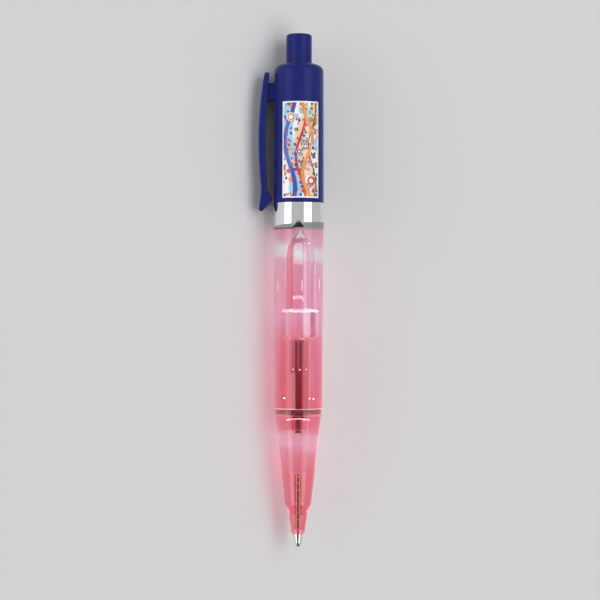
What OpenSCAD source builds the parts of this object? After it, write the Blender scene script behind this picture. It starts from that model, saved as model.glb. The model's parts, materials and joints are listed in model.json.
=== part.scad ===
// Light-up ballpoint pen. A push button in the top switches a lamp that shines down
// a thick clear barrel. Every piece is drawn on the pen's own axis, with the writing
// point at z = 0 and the clip towards -x, and is then laid on its side so that the
// pen rests on its ring and on the edge of its clip.

/* [Lengths from the tip up] */
// Metal point that stands out of the nose
point_out = 3.7; // [3:0.1:5]
// Slim nose behind the point
nose_len = 5.9; // [4:0.1:8]
// Short step from the nose to the cone
step_len = 1.9; // [1:0.1:3]
// Grip cone
cone_len = 24.7; // [20:0.1:32]
// Collar that seats on the clear barrel
collar_len = 1.7; // [1:0.1:3]
// Clear barrel that shows
clear_len = 50; // [44:0.1:60]
// Plated ring
ring_len = 6; // [4:0.1:8]
// Ring's lip below that, around the clear barrel
lip_len = 1.3; // [0.8:0.1:1.4]
// Coloured upper barrel
upper_len = 38.1; // [36:0.1:44]
// Push button above the barrel at rest
button_out = 8; // [6:0.1:12]

/* [Outside diameters] */
// Front end of the nose
nose_d = 3.4; // [3.2:0.1:4.4]
// Nose where the step starts
nose_top_d = 5.3; // [4.6:0.1:6.2]
// Cone where the step ends
cone_low_d = 7; // [6.4:0.1:9]
// Collar on top of the cone
collar_d = 12.6; // [11.8:0.1:13]
// Clear barrel at the cone
clear_low_d = 12.9; // [12:0.1:13.6]
// Clear barrel under the ring
clear_top_d = 13.6; // [12.8:0.1:14.4]
// Plated ring
ring_d = 13.86; // [13.4:0.02:15]
// Upper barrel above the ring
upper_low_d = 13.66; // [13.2:0.02:15]
// Upper barrel under its shoulder
upper_top_d = 13.4; // [13:0.02:14.6]
// Push button
button_d = 7; // [6:0.1:7.4]

/* [Clear barrel and front cone] */
// Bore that takes the refill sleeve
bore_d = 6.8; // [6:0.1:7.6]
// Depth of that bore
bore_len = 26.8; // [22:0.1:30]
// Air chamber above the bore
chamber_d = 5.5; // [4.4:0.1:5.8]
// Bullet-shaped end of the chamber
bullet_len = 9.5; // [6:0.1:12]
// Pointed end of the bullet
bullet_tip_len = 3.6; // [2:0.1:5]
// Bullet's width where its point starts
bullet_tip_d = 3.9; // [2.6:0.1:4.2]
// Solid plastic between the bullet and the ring
bullet_cover = 1.4; // [0.8:0.1:3]
// Neck that carries the ring and the upper barrel
neck_d = 10.8; // [9.6:0.1:11.6]
// Thickness of the ring's lip
lip_t = 0.5; // [0.3:0.05:0.6]
// Refill sleeve inside the barrel
sleeve_len = 18.9; // [10:0.1:21]
// Sleeve's spigot inside the cone
sleeve_in = 3; // [2:0.1:4]
// Bore of the cone that takes the spigot
sleeve_in_d = 4.4; // [4.2:0.1:5]
// Air space under the spigot
recess_len = 2.6; // [1:0.1:4]
// Rim of the collar around its moulded groove
collar_wall = 0.9; // [0.6:0.1:1.2]
// Land between the groove and the sleeve
groove_land = 0.6; // [0.4:0.1:0.9]
// Depth of the groove
groove_len = 1.5; // [0.8:0.1:3]

/* [Refill] */
// Writing ball
ball_d = 1; // [0.7:0.05:1.1]
// Ball that shows past the metal lip
ball_out = 0.32; // [0.2:0.01:0.4]
// Metal point where it leaves the nose
point_d = 2.3; // [2:0.05:2.4]
// Metal point behind the ball
point_tip_d = 1.7; // [1.5:0.05:2]
// Brass shank behind the point
shank_d = 1.3; // [1.1:0.05:1.8]
// Length of the point's thick part inside the nose
point_in = 1; // [0.6:0.1:10]
// Depth from the nose to the seat of the refill
seat_depth = 16.7; // [13:0.1:20]
// Shank pushed into the socket
shank_in = 3; // [2:0.1:5]
// Moulded socket between the shank and the tube
socket_len = 12.2; // [8:0.1:14]
// Refill tube
refill_d = 3.2; // [2.8:0.1:3.6]
// Ink bore of the refill tube
ink_d = 1.2; // [1:0.1:1.6]
// Wider foot of that bore
well_d = 2; // [1.8:0.1:2.3]
// Ink in the foot above the socket's spigot
well_len = 1.5; // [0.8:0.1:3]
// Length of the refill tube
refill_len = 23.9; // [18:0.1:25]
// Ink in the tube
ink_len = 13.2; // [6:0.1:17]
// Ink in the socket's channel
thread_len = 4; // [2:0.1:8]
// Socket's spigot inside the tube
spigot_len = 2.9; // [1.5:0.1:5]

/* [Lamp and cells] */
// Lamp body
lamp_d = 5; // [4.4:0.1:5.2]
// Lamp from its dome to its flange
lamp_len = 7.6; // [6:0.1:9]
// Lamp flange
flange_d = 5.8; // [5.4:0.1:6.4]
// Thickness of the flange
flange_t = 1; // [0.6:0.1:1.4]
// Lamp's dome that shows in front of the ring
lamp_show = 0.4; // [0:0.1:0.5]
// Neck above the flange
lamp_cover = 1.9; // [0.6:0.1:2.4]
// Width of a lamp lead
lead_w = 0.5; // [0.4:0.05:0.6]
// Distance between the two leads
lead_pitch = 2.54; // [2:0.02:3]
// Button cell diameter
cell_d = 7.9; // [6.8:0.1:8.4]
// Button cell height
cell_h = 3.6; // [2.6:0.1:3.8]
// Wall of the cell carrier
carrier_wall = 0.9; // [0.7:0.05:1.1]
// Floor of the cell carrier
carrier_floor = 1.5; // [1.2:0.1:2]
// Carrier wall above the top cell
carrier_rim = 0.6; // [0.3:0.1:1]
// Height of the cell spring at rest
cell_spring_h = 2.5; // [2.3:0.1:3.2]
// Spring wire
wire_d = 0.35; // [0.25:0.01:0.4]
// Thickness of the contact strip
strip_t = 0.3; // [0.2:0.05:0.4]
// Width of the contact strip
strip_w = 2; // [1.4:0.1:2.6]

/* [Push button and click cam] */
// Barrel wall over the cam
top_wall = 1.8; // [1.5:0.1:2.2]
// Push button below that wall
button_in = 3.9; // [3.6:0.1:4.6]
// Solid roof of the hollow button
button_roof = 2; // [1.2:0.1:4]
// Button travel before it meets the rotor
lost_motion = 3; // [2.6:0.1:3.2]
// Rotor travel past its latch
over_travel = 1.5; // [1.4:0.1:1.8]
// Height of a latch tooth
tooth_h = 1.3; // [0.8:0.1:1.4]
// Height of a crown tooth on the button
crown_h = 0.9; // [0.5:0.1:1.2]
// Length of the rotor below its teeth
rotor_len = 3.6; // [3.2:0.1:4]
// Width of a guide slot
slot_w = 1.8; // [1.4:0.1:2]
// Pin pushed into the rotor
pin_in = 2.2; // [1.2:0.1:3]
// Rotor stem that runs inside the button
stem_d = 4.4; // [3.6:0.1:4.6]
// Length of the splines on the button
spline_len = 2.6; // [1.5:0.1:2.8]
// Wall of the cam guide
guide_wall = 0.55; // [0.4:0.05:0.8]
// Contact pin
pin_d = 1.8; // [1.4:0.1:2.2]
// Flange of the contact pin
pin_flange_d = 4.8; // [4.4:0.1:5.4]
// Thickness of that flange
pin_flange_t = 0.6; // [0.4:0.1:0.8]
// Mean diameter of the return spring
return_d = 4; // [3.6:0.1:4.4]

/* [Clip] */
// Clip from its thumb end to its foot
clip_len = 38; // [34:0.1:40]
// Clip width
clip_w = 4.8; // [4:0.1:6]
// Thickness of the arm at its middle
clip_t = 1.83; // [1.5:0.01:2.2]
// Clip's top below the top of the barrel
clip_drop = 2.4; // [1.8:0.1:4]
// Thumb end above the bridge
thumb_len = 3.1; // [2.4:0.1:4]
// Bridge along the pen
bridge_h = 4.7; // [3.6:0.1:5.4]
// Bridge width
bridge_w = 3; // [2.4:0.1:3.6]
// Space under the middle of the arm
arm_gap = 2.25; // [1.9:0.05:2.8]
// Radius of the arm's outer bow
bow_out = 113; // [100:1:160]
// Radius of the arm's inner bow
bow_in = 165; // [130:1:240]
// Foot along the pen
foot_len = 6.5; // [5.5:0.1:8]
// Space under the foot
foot_gap = 0.48; // [0.4:0.02:1]

/* [Label] */
// Label along the pen
label_len = 26; // [18:0.1:28]
// Label's arc around the barrel, in degrees
label_arc = 89; // [60:1:110]
// Turn of the label away from the clip, in degrees
label_turn = 95; // [88:1:110]
// Label above the ring
label_up = 1.1; // [0.6:0.1:3]
// Thickness of the label
label_t = 0.1; // [0.06:0.01:0.2]

/* [Fits] */
// Radial clearance between fixed pieces
fit_gap = 0.05; // [0.03:0.01:0.08]
// Radial clearance between running pieces
run_gap = 0.1; // [0.06:0.01:0.14]
// Rocking clearance of the clip's root in its pocket
root_gap = 0.32; // [0.3:0.01:0.4]
// Barrel wall behind the clip's pocket
pocket_wall = 0.4; // [0.3:0.05:0.6]

/* [Hidden] */
$fn = 72;

barrel_blue = [0.06, 0.07, 0.28];
plated = [0.85, 0.86, 0.88];
clear_pink = [0.93, 0.6, 0.68, 0.5];
brass = [0.8, 0.65, 0.35];

// Stations along the axis
step_z = point_out + nose_len;
cone_z = step_z + step_len;
collar_z = cone_z + cone_len;
joint_z = collar_z + collar_len;
ring_z = joint_z + clear_len;
lip_z = ring_z - lip_len;
upper_z = ring_z + ring_len;
top_z = upper_z + upper_len;
pen_len = top_z + button_out;

// Refill stations
seat_z = point_out + seat_depth;
tube_z = seat_z + socket_len;
ink_z = tube_z + spigot_len;
point_step = 0.3;
shank_z = point_out + point_in + point_step;
well_z = ink_z + well_len;
sleeve_z = joint_z + sleeve_len;
sleeve_in_z = joint_z - sleeve_in;

// Lamp and cell stations
lamp_z = ring_z - lamp_show;
flange_z = lamp_z + lamp_len;
lamp_top_z = flange_z + flange_t;
neck_z = lamp_top_z + lamp_cover;
floor_z = neck_z + carrier_floor;
cell_z = floor_z + cell_spring_h;
cell_count = 3;
cells_top_z = cell_z + cell_count * cell_h;
carrier_z = cells_top_z + carrier_rim;
strip_z = carrier_z + strip_t;

// Click cam stations
plate_z = top_z - top_wall;
crown_z = plate_z - button_in;
latch_z = crown_z - lost_motion - fit_gap;
rotor_z = latch_z - rotor_len;
pin_z = rotor_z - pin_flange_t;
guide_tip_z = latch_z + run_gap - tooth_h;
stem_top_z = crown_z + 1.6;
button_bore_z = pen_len - button_roof;

// Radii that follow from the fits
button_r = button_d / 2;
neck_r = neck_d / 2;
lip_in_r = clear_top_d / 2 - lip_t;
cell_r = cell_d / 2;
carrier_in_r = cell_r + run_gap;
carrier_r = carrier_in_r + carrier_wall;
mech_r = carrier_r + fit_gap;
guide_in_r = carrier_r - guide_wall;
rib_in_r = button_r + run_gap;
cam_r = guide_in_r - run_gap;
stem_r = stem_d / 2;
crown_in_r = stem_r + 2 * run_gap;
sleeve_r = bore_d / 2 - fit_gap;
refill_bore_r = refill_d / 2 + run_gap;
point_bore_r = point_d / 2 + fit_gap;
shank_bore_r = shank_d / 2 + fit_gap;
channel_r = ink_d / 2 - 2 * fit_gap;

// Click cam teeth, measured along the tangent
cam_count = 4;
tooth_count = 2 * cam_count;
tooth_turn = 360 / tooth_count;
tooth_half = rib_in_r * sin(tooth_turn / 2);
tooth_slope = tooth_h / (2 * tooth_half);
slot_from = tooth_half - slot_w;
rib_w = slot_w - 4 * run_gap;
spline_z = plate_z - run_gap;
guide_z = rotor_z - over_travel;
disc_t = 0.8;

// Contacts
pin_r = pin_d / 2;
strip_r = carrier_r - 0.15;
strip_hole_r = pin_r + 0.5;
foot_low_z = neck_z + run_gap;
coil_low_r = cell_r - 0.95;
lead_end_r = coil_low_r + wire_d;
socket_gap = 0.02;

// Upper barrel outline
shoulder_r = 2;
shoulder_turn = 70;
crown_rise = 0.5;
shoulder_z = top_z - crown_rise - shoulder_r;

// Clip outline, as distance from the axis and height
upper_low_r = upper_low_d / 2;
upper_top_r = upper_top_d / 2;
clip_z = top_z - clip_drop;
foot_z = clip_z - clip_len;
ankle_z = foot_z + foot_len;
bridge_z = clip_z - thumb_len - bridge_h;
bow_z = (clip_z + foot_z) / 2;
arm_in_r = upper_low_r + arm_gap;
arm_out_r = arm_in_r + clip_t;
pocket_r = mech_r + pocket_wall;
root_r = pocket_r + root_gap;
foot_r = upper_low_r + foot_gap;
swing_r = (upper_low_r + upper_top_r) / 2;
swing_z = bridge_z + bridge_h / 2;

// Rest on a flat surface: the widest ring and the clip's outer edge both touch it
body_r = max(ring_d, upper_low_d, clear_top_d) / 2;
edge_reach = norm([arm_out_r, clip_w / 2]);
edge_turn = atan2(clip_w / 2, arm_out_r);
rest_roll = asin(body_r / edge_reach) - edge_turn;
left_x = edge_reach * cos(rest_roll - edge_turn);

echo(pen_length = pen_len, rest_roll = rest_roll, axis_x = (left_x - body_r) / 2);
echo(clip_swing = [swing_r, swing_z], ring_from_tip = ring_z);

// Height of a bowed line at a height on the clip
function bow_at(r, bow, z) = r - bow + sqrt(bow * bow - pow(z - bow_z, 2));

function arc(c, r, from, to, steps) =
    [for (i = [0:steps]) let (a = from + (to - from) * i / steps) c + r * [cos(a), sin(a)]];

// Smooth bend from a to c that leaves and arrives towards b
function bend(a, b, c, steps) =
    [for (i = [0:steps]) let (t = i / steps) pow(1 - t, 2) * a + 2 * t * (1 - t) * b + t * t * c];

// Wound wire: 8 rings a turn
function winding(r_low, r_high, low_z, high_z, turns) =
    let (rings = round(8 * turns))
    [for (i = [0:rings]) let (t = i / rings, a = 360 * turns * t)
        [(r_low + (r_high - r_low) * t) * cos(a),
         (r_low + (r_high - r_low) * t) * sin(a),
         low_z + (high_z - low_z) * t]];

// Least space between neighbouring turns of a winding
function least_gap(path) =
    min([for (i = [0:len(path) - 5]) for (j = [i + 4:len(path) - 1]) norm(path[i] - path[j])]) - wire_d;

module lay_down() {
    translate([(left_x - body_r) / 2, -pen_len / 2, body_r])
        rotate([-90, -rest_roll, 0])
            children();
}

// Outline drawn in the tangent plane at an angle and pushed through radially
module tangent_prism(points, r_in, r_out, at) {
    rotate([0, 0, at])
        translate([r_in, 0, 0])
            rotate([90, 0, 90])
                linear_extrude(height = r_out - r_in)
                    polygon(points);
}

module wire(path) {
    sides = 6;
    rings = len(path);
    points = [for (i = [0:rings - 1])
        let (
            ahead = path[min(i + 1, rings - 1)] - path[max(i - 1, 0)],
            along = ahead / norm(ahead),
            across = cross([0, 0, 1], along),
            side = across / norm(across),
            up = cross(along, side)
        )
        for (k = [0:sides - 1])
            path[i] + wire_d / 2 * (cos(60 * k) * side + sin(60 * k) * up)];
    walls = [for (i = [0:rings - 2]) for (k = [0:sides - 1])
        let (n = (k + 1) % sides, a = i * sides, b = a + sides)
        each [[a + k, b + k, a + n], [a + n, b + k, b + n]]];
    last = (rings - 1) * sides;
    caps = [for (k = [1:sides - 2]) each [[0, k, k + 1], [last, last + k + 1, last + k]]];
    polyhedron(points, concat(walls, caps));
}

module push_button() lay_down() color(barrel_blue) {
    corner_r = 0.7;
    dome = 0.15;
    difference() {
        rotate_extrude()
            polygon(concat(
                [[0, crown_z], [button_r, crown_z]],
                arc([button_r - corner_r, pen_len - dome - corner_r], corner_r, 0, 80, 6),
                [[0, pen_len]]
            ));
        translate([0, 0, crown_z - 1])
            cylinder(r = crown_in_r, h = button_bore_z - crown_z + 1);
        for (k = [1:tooth_count])
            tangent_prism(
                [[-1.2 * crown_h, crown_z - fit_gap], [1.2 * crown_h, crown_z - fit_gap], [0, crown_z + crown_h]],
                crown_in_r / 2, button_r + 1, k * tooth_turn);
    }
    intersection() {
        translate([0, 0, crown_z])
            cylinder(r = cam_r, h = button_in);
        for (k = [1:cam_count])
            tangent_prism(
                [[slot_from + run_gap, spline_z - spline_len], [tooth_half - run_gap, spline_z - spline_len],
                 [tooth_half - run_gap, spline_z], [slot_from + run_gap, spline_z]],
                (crown_in_r + button_r) / 2, cam_r + 1, (2 * k - 0.5) * tooth_turn);
    }
}

module upper_barrel() lay_down() color(barrel_blue) {
    hole_r = button_r + run_gap;
    difference() {
        rotate_extrude()
            polygon(concat(
                [[hole_r, upper_z], [upper_low_r, upper_z]],
                arc([upper_top_r - shoulder_r, shoulder_z], shoulder_r, 0, shoulder_turn, 8),
                [[hole_r, top_z]]
            ));
        translate([0, 0, upper_z - 1])
            cylinder(r = neck_r + fit_gap, h = neck_z - upper_z + 1);
        translate([0, 0, upper_z - 1])
            cylinder(r = mech_r, h = plate_z - upper_z + 1);
        translate([-upper_low_r - 1, -bridge_w / 2 - run_gap, bridge_z - root_gap])
            cube([upper_low_r + 1 - pocket_r, bridge_w + 2 * run_gap, bridge_h + 2 * root_gap]);
    }
}

// Side view of the clip: x is the distance from the axis and y the height
module clip_side() {
    thumb_r = clip_t * 0.38;
    thumb_z = clip_z - thumb_r;
    ankle_in = [bow_at(arm_in_r, bow_in, ankle_z), ankle_z];
    ankle_out = [bow_at(arm_out_r, bow_out, ankle_z), ankle_z];
    toe = [arm_out_r - 0.6, foot_z];
    heel_z = foot_z + foot_len * 0.4;
    difference() {
        intersection() {
            translate([arm_out_r - bow_out, bow_z])
                circle(r = bow_out, $fn = 720);
            translate([0, ankle_z])
                square([2 * arm_out_r, thumb_z - ankle_z]);
        }
        translate([arm_in_r - bow_in, bow_z])
            circle(r = bow_in, $fn = 720);
    }
    translate([(bow_at(arm_in_r, bow_in, thumb_z) + bow_at(arm_out_r, bow_out, thumb_z)) / 2, thumb_z])
        circle(r = thumb_r);
    polygon(concat(
        bend(ankle_in, ankle_in - [0, 1], [(ankle_in[0] + foot_r) / 2, ankle_z - 1.4], 4),
        bend([foot_r + 0.3, ankle_z - 1.9], [foot_r, heel_z + 1.2], [foot_r, heel_z + 0.8], 4),
        bend([foot_r, heel_z + 0.5], [foot_r, heel_z - 0.1], [foot_r + 0.5, heel_z - 0.4], 4),
        [toe - [0.4, -0.1]],
        bend(toe, toe + [0.6, 0], toe + [0.5, 1], 4),
        bend(toe + [0.2, 3], toe + [-0.1, 4.6], ankle_out, 4)
    ));
}

module clip() lay_down() color(barrel_blue) {
    round_r = clip_w / 2;
    reach = arm_out_r + 1;
    intersection() {
        mirror([1, 0, 0])
            rotate([90, 0, 0])
                linear_extrude(height = clip_w, center = true)
                    clip_side();
        translate([-reach, 0, 0])
            rotate([90, 0, 90])
                linear_extrude(height = reach) {
                    translate([-round_r, foot_z + round_r])
                        square([clip_w, clip_len - clip_w]);
                    translate([0, foot_z + round_r])
                        circle(r = round_r);
                    translate([0, clip_z - round_r])
                        circle(r = round_r);
                }
    }
    translate([-bow_at(arm_in_r, bow_in, swing_z) - clip_t / 3, -bridge_w / 2, bridge_z])
        cube([bow_at(arm_in_r, bow_in, swing_z) + clip_t / 3 - root_r, bridge_w, bridge_h]);
}

module label() lay_down() color([0.95, 0.95, 0.97]) {
    low_z = upper_z + label_up;
    high_z = low_z + label_len;
    taper = (upper_top_r - upper_low_r) / (shoulder_z - upper_z);
    low_r = upper_low_r + taper * label_up + fit_gap / 2;
    high_r = low_r + taper * label_len;
    rotate([0, 0, 180 + label_turn - label_arc / 2])
        rotate_extrude(angle = label_arc)
            polygon([[low_r, low_z], [low_r + label_t, low_z], [high_r + label_t, high_z], [high_r, high_z]]);
}

module cam_guide() lay_down() color([0.8, 0.8, 0.82]) {
    difference() {
        translate([0, 0, guide_z])
            cylinder(r = carrier_r, h = plate_z - guide_z);
        translate([0, 0, guide_z - 1])
            cylinder(r = guide_in_r, h = guide_tip_z - guide_z + 1);
        translate([0, 0, guide_z - 1])
            cylinder(r = rib_in_r, h = plate_z - guide_z + 2);
        intersection() {
            translate([0, 0, guide_tip_z - 1])
                cylinder(r = guide_in_r, h = plate_z - guide_tip_z + 2);
            union() {
                for (k = [1:tooth_count])
                    tangent_prism(
                        [[-tooth_half, guide_tip_z - 1], [tooth_half, guide_tip_z - 1],
                         [tooth_half, guide_tip_z + tooth_h], [-tooth_half, guide_tip_z]],
                        rib_in_r / 2, guide_in_r + 1, (k - 0.5) * tooth_turn);
                for (k = [1:cam_count])
                    tangent_prism(
                        [[slot_from, guide_tip_z - 1], [tooth_half, guide_tip_z - 1],
                         [tooth_half, plate_z + 1], [slot_from, plate_z + 1]],
                        rib_in_r / 2, guide_in_r + 1, (2 * k - 0.5) * tooth_turn);
            }
        }
    }
}

module cam_rotor() lay_down() color([0.9, 0.9, 0.9]) {
    rib_to = tooth_half - run_gap;
    rib_from = rib_to - rib_w;
    rib_z = rotor_z + disc_t;
    difference() {
        union() {
            translate([0, 0, rotor_z])
                cylinder(r = stem_r, h = stem_top_z - rotor_z);
            translate([0, 0, rotor_z])
                cylinder(r = rib_in_r, h = disc_t);
            intersection() {
                translate([0, 0, rotor_z])
                    cylinder(r = cam_r, h = rotor_len + 1);
                for (k = [1:cam_count])
                    tangent_prism(
                        [[rib_from, rib_z], [rib_to, rib_z], [rib_to, latch_z],
                         [rib_from, latch_z - rib_w * tooth_slope]],
                        stem_r / 2, cam_r + 1, (2 * k + 0.5) * tooth_turn);
            }
        }
        translate([0, 0, rotor_z - 1])
            cylinder(r = pin_r + fit_gap, h = pin_in + 1);
    }
}

module contact_pin() lay_down() color(brass) {
    nose_r = pin_r / 2;
    rotate_extrude()
        polygon([
            [0, cells_top_z], [nose_r, cells_top_z], [pin_r, cells_top_z + pin_r - nose_r],
            [pin_r, pin_z], [pin_flange_d / 2, pin_z], [pin_flange_d / 2, rotor_z],
            [pin_r, rotor_z], [pin_r, rotor_z + pin_in], [0, rotor_z + pin_in]
        ]);
}

module return_spring() lay_down() color(plated) {
    turns = 5.5;
    path = winding(return_d / 2, return_d / 2, strip_z + wire_d / 2, pin_z - wire_d / 2, turns);
    echo(return_spring_gap = least_gap(path));
    wire(path);
}

module contact_strip() lay_down() color(brass) {
    difference() {
        translate([0, 0, carrier_z])
            cylinder(r = carrier_r - run_gap, h = strip_t);
        translate([0, 0, carrier_z - 1])
            cylinder(r = strip_hole_r, h = strip_t + 2);
    }
    translate([strip_r - strip_t, -strip_w / 2, foot_low_z])
        cube([strip_t, strip_w, strip_z - foot_low_z]);
    translate([lead_pitch / 2 - lead_w, -strip_w / 2, foot_low_z])
        cube([strip_r - lead_pitch / 2 + lead_w, strip_w, strip_t]);
}

module cell_carrier() lay_down() color([0.86, 0.86, 0.84]) {
    groove_w = strip_w + 2 * run_gap;
    lead_gap = lead_w / 2 + run_gap;
    difference() {
        translate([0, 0, neck_z])
            cylinder(r = carrier_r, h = carrier_z - neck_z);
        translate([0, 0, floor_z])
            cylinder(r = carrier_in_r, h = carrier_z - floor_z + 1);
        translate([strip_r - strip_t - fit_gap, -groove_w / 2, neck_z - 1])
            cube([carrier_r, groove_w, carrier_z - neck_z + 2]);
        translate([lead_pitch / 2 - lead_w - run_gap, -groove_w / 2, neck_z - 1])
            cube([carrier_r, groove_w, foot_low_z + strip_t + fit_gap - neck_z + 1]);
        translate([-lead_pitch / 2 - lead_gap, -lead_gap, neck_z - 1])
            cube([2 * lead_gap, 2 * lead_gap, carrier_floor + 2]);
        translate([-lead_end_r - run_gap, -lead_gap, floor_z - lead_w - fit_gap])
            cube([lead_end_r - lead_pitch / 2, 2 * lead_gap, lead_w + 1]);
    }
}

module button_cell(i) lay_down() color([0.8, 0.81, 0.82]) {
    low_z = cell_z + (i - 1) * cell_h;
    cap_h = 0.35;
    cap_r = cell_r * 0.78;
    corner = 0.25;
    rotate_extrude()
        polygon([
            [0, low_z], [cap_r, low_z], [cap_r, low_z + cap_h], [cell_r - corner, low_z + cap_h],
            [cell_r, low_z + cap_h + corner], [cell_r, low_z + cell_h - corner],
            [cell_r - corner, low_z + cell_h], [0, low_z + cell_h]
        ]);
}

module cell_spring() lay_down() color(plated) {
    turns = 3;
    path = winding(coil_low_r, coil_low_r / 2, floor_z + wire_d / 2, cell_z - wire_d / 2, turns);
    echo(cell_spring_gap = least_gap(path));
    wire(path);
}

module lamp() lay_down() color([0.95, 0.2, 0.2, 0.8]) {
    lamp_r = lamp_d / 2;
    flat_x = (lamp_r + flange_d / 2) / 2;
    translate([0, 0, lamp_z + lamp_r])
        sphere(r = lamp_r);
    translate([0, 0, lamp_z + lamp_r])
        cylinder(r = lamp_r, h = lamp_len - lamp_r);
    difference() {
        translate([0, 0, flange_z])
            cylinder(d = flange_d, h = flange_t);
        translate([-flange_d - flat_x, -flange_d / 2, flange_z - 1])
            cube([flange_d, flange_d, flange_t + 2]);
    }
}

module lamp_anode() lay_down() color(plated) {
    translate([lead_pitch / 2 - lead_w / 2, -lead_w / 2, lamp_top_z])
        cube([lead_w, lead_w, foot_low_z - lamp_top_z]);
}

module lamp_cathode() lay_down() color(plated) {
    translate([-lead_pitch / 2 - lead_w / 2, -lead_w / 2, lamp_top_z])
        cube([lead_w, lead_w, floor_z - lamp_top_z]);
    translate([-lead_end_r, -lead_w / 2, floor_z - lead_w])
        cube([lead_end_r - lead_pitch / 2, lead_w, lead_w]);
}

module plated_ring() lay_down() color(plated) {
    edge = 0.12;
    r_in = neck_r + fit_gap;
    r_out = ring_d / 2;
    rotate_extrude()
        polygon([
            [r_in, ring_z], [lip_in_r, ring_z], [lip_in_r, lip_z], [clear_top_d / 2, lip_z],
            [r_out, ring_z], [r_out, upper_z - edge], [r_out - edge, upper_z], [r_in, upper_z]
        ]);
}

module clear_barrel() lay_down() color(clear_pink) {
    bore_r = bore_d / 2;
    chamber_r = chamber_d / 2;
    bullet_tip_r = bullet_tip_d / 2;
    lamp_pocket_r = lamp_d / 2 + fit_gap;
    bore_z = joint_z + bore_len;
    bullet_top_z = ring_z - bullet_cover;
    bullet_z = bullet_top_z - bullet_len;
    tip_z = bullet_top_z - bullet_tip_len;
    difference() {
        rotate_extrude()
            polygon([
                [0, joint_z], [clear_low_d / 2, joint_z], [clear_top_d / 2, lip_z - fit_gap],
                [lip_in_r - fit_gap, lip_z - fit_gap], [lip_in_r - fit_gap, ring_z],
                [neck_r, ring_z], [neck_r, neck_z], [0, neck_z]
            ]);
        rotate_extrude()
            polygon(concat(
                [[0, joint_z - 1], [bore_r, joint_z - 1], [bore_r, bore_z], [chamber_r, bore_z]],
                bend([chamber_r, bullet_z], [chamber_r, (bullet_z + 2 * tip_z) / 3], [bullet_tip_r, tip_z], 8),
                [[0, bullet_top_z]]
            ));
        translate([0, 0, lamp_z + lamp_d / 2])
            sphere(r = lamp_pocket_r);
        translate([0, 0, lamp_z + lamp_d / 2])
            cylinder(r = lamp_pocket_r, h = neck_z - lamp_z);
        translate([0, 0, flange_z])
            cylinder(r = flange_d / 2 + fit_gap, h = neck_z - flange_z + 1);
    }
}

module front_cone() lay_down() color(clear_pink) {
    nose_r = nose_d / 2;
    collar_r = collar_d / 2;
    edge = 0.25;
    difference() {
        rotate_extrude()
            polygon([
                [0, point_out], [nose_r - edge, point_out], [nose_r, point_out + edge],
                [nose_top_d / 2, step_z], [cone_low_d / 2, cone_z], [collar_r, collar_z],
                [collar_r, joint_z], [0, joint_z]
            ]);
        translate([0, 0, point_out - 1])
            cylinder(r = point_bore_r, h = shank_z + fit_gap - point_out + 1);
        translate([0, 0, point_out - 1])
            cylinder(r = shank_bore_r, h = seat_depth + 2);
        translate([0, 0, seat_z])
            cylinder(r = refill_bore_r, h = joint_z - seat_z + 1);
        translate([0, 0, sleeve_in_z - recess_len])
            cylinder(d = sleeve_in_d, h = recess_len + sleeve_in + 1);
        rotate_extrude()
            translate([sleeve_r + groove_land, joint_z - groove_len])
                square([collar_r - collar_wall - sleeve_r - groove_land, groove_len + 1]);
    }
}

module refill_sleeve() lay_down() color(clear_pink) {
    spigot_r = sleeve_in_d / 2 - fit_gap;
    rotate_extrude()
        polygon([
            [refill_bore_r, sleeve_in_z], [spigot_r, sleeve_in_z], [spigot_r, joint_z],
            [sleeve_r, joint_z], [sleeve_r, sleeve_z], [refill_bore_r, sleeve_z]
        ]);
}

module refill_tube() lay_down() color([0.9, 0.85, 0.86, 0.7]) {
    well_r = well_d / 2;
    refill_r = refill_d / 2;
    tube_top_z = tube_z + refill_len;
    rotate_extrude()
        polygon([
            [well_r, tube_z], [refill_r, tube_z], [refill_r, tube_top_z],
            [ink_d / 2, tube_top_z], [ink_d / 2, well_z], [well_r, well_z]
        ]);
}

module ink_column() lay_down() color([0.25, 0.03, 0.05]) {
    dish = 1;
    skin = fit_gap / 2;
    ink_r = ink_d / 2 - skin;
    well_r = well_d / 2 - skin;
    thread_r = channel_r - skin;
    rotate_extrude()
        polygon([
            [0, ink_z - thread_len], [thread_r, ink_z - thread_len], [thread_r, ink_z], [well_r, ink_z],
            [well_r, well_z - skin], [ink_r, well_z - skin], [ink_r, ink_z + ink_len], [0, ink_z + ink_len - dish]
        ]);
}

module refill_socket() lay_down() color([0.92, 0.88, 0.88, 0.8]) {
    edge = 0.3;
    refill_r = refill_d / 2;
    spigot_r = well_d / 2 - fit_gap;
    rotate_extrude()
        polygon([
            [shank_bore_r, seat_z], [refill_r - edge, seat_z], [refill_r, seat_z + edge],
            [refill_r, tube_z], [spigot_r, tube_z], [spigot_r, ink_z], [channel_r, ink_z],
            [channel_r, seat_z + shank_in], [shank_bore_r, seat_z + shank_in]
        ]);
}

module writing_point() lay_down() color([0.8, 0.76, 0.66]) {
    ball_r = ball_d / 2;
    lip_r = ball_r + 0.14;
    land_z = point_out - 0.4;
    shank_top_z = seat_z + shank_in;
    point_r = point_d / 2;
    difference() {
        rotate_extrude()
            polygon([
                [0, ball_out], [lip_r, ball_out], [point_tip_d / 2, ball_out + 0.9],
                [point_r, land_z], [point_r, shank_z - point_step], [shank_d / 2, shank_z],
                [shank_d / 2, shank_top_z], [0, shank_top_z]
            ]);
        translate([0, 0, ball_r])
            sphere(r = ball_r + socket_gap);
        translate([0, 0, ball_r])
            cylinder(r = shank_d / 4, h = shank_top_z);
    }
}

module point_ball() lay_down() color([0.75, 0.76, 0.78]) {
    translate([0, 0, ball_d / 2])
        sphere(d = ball_d);
}

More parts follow.
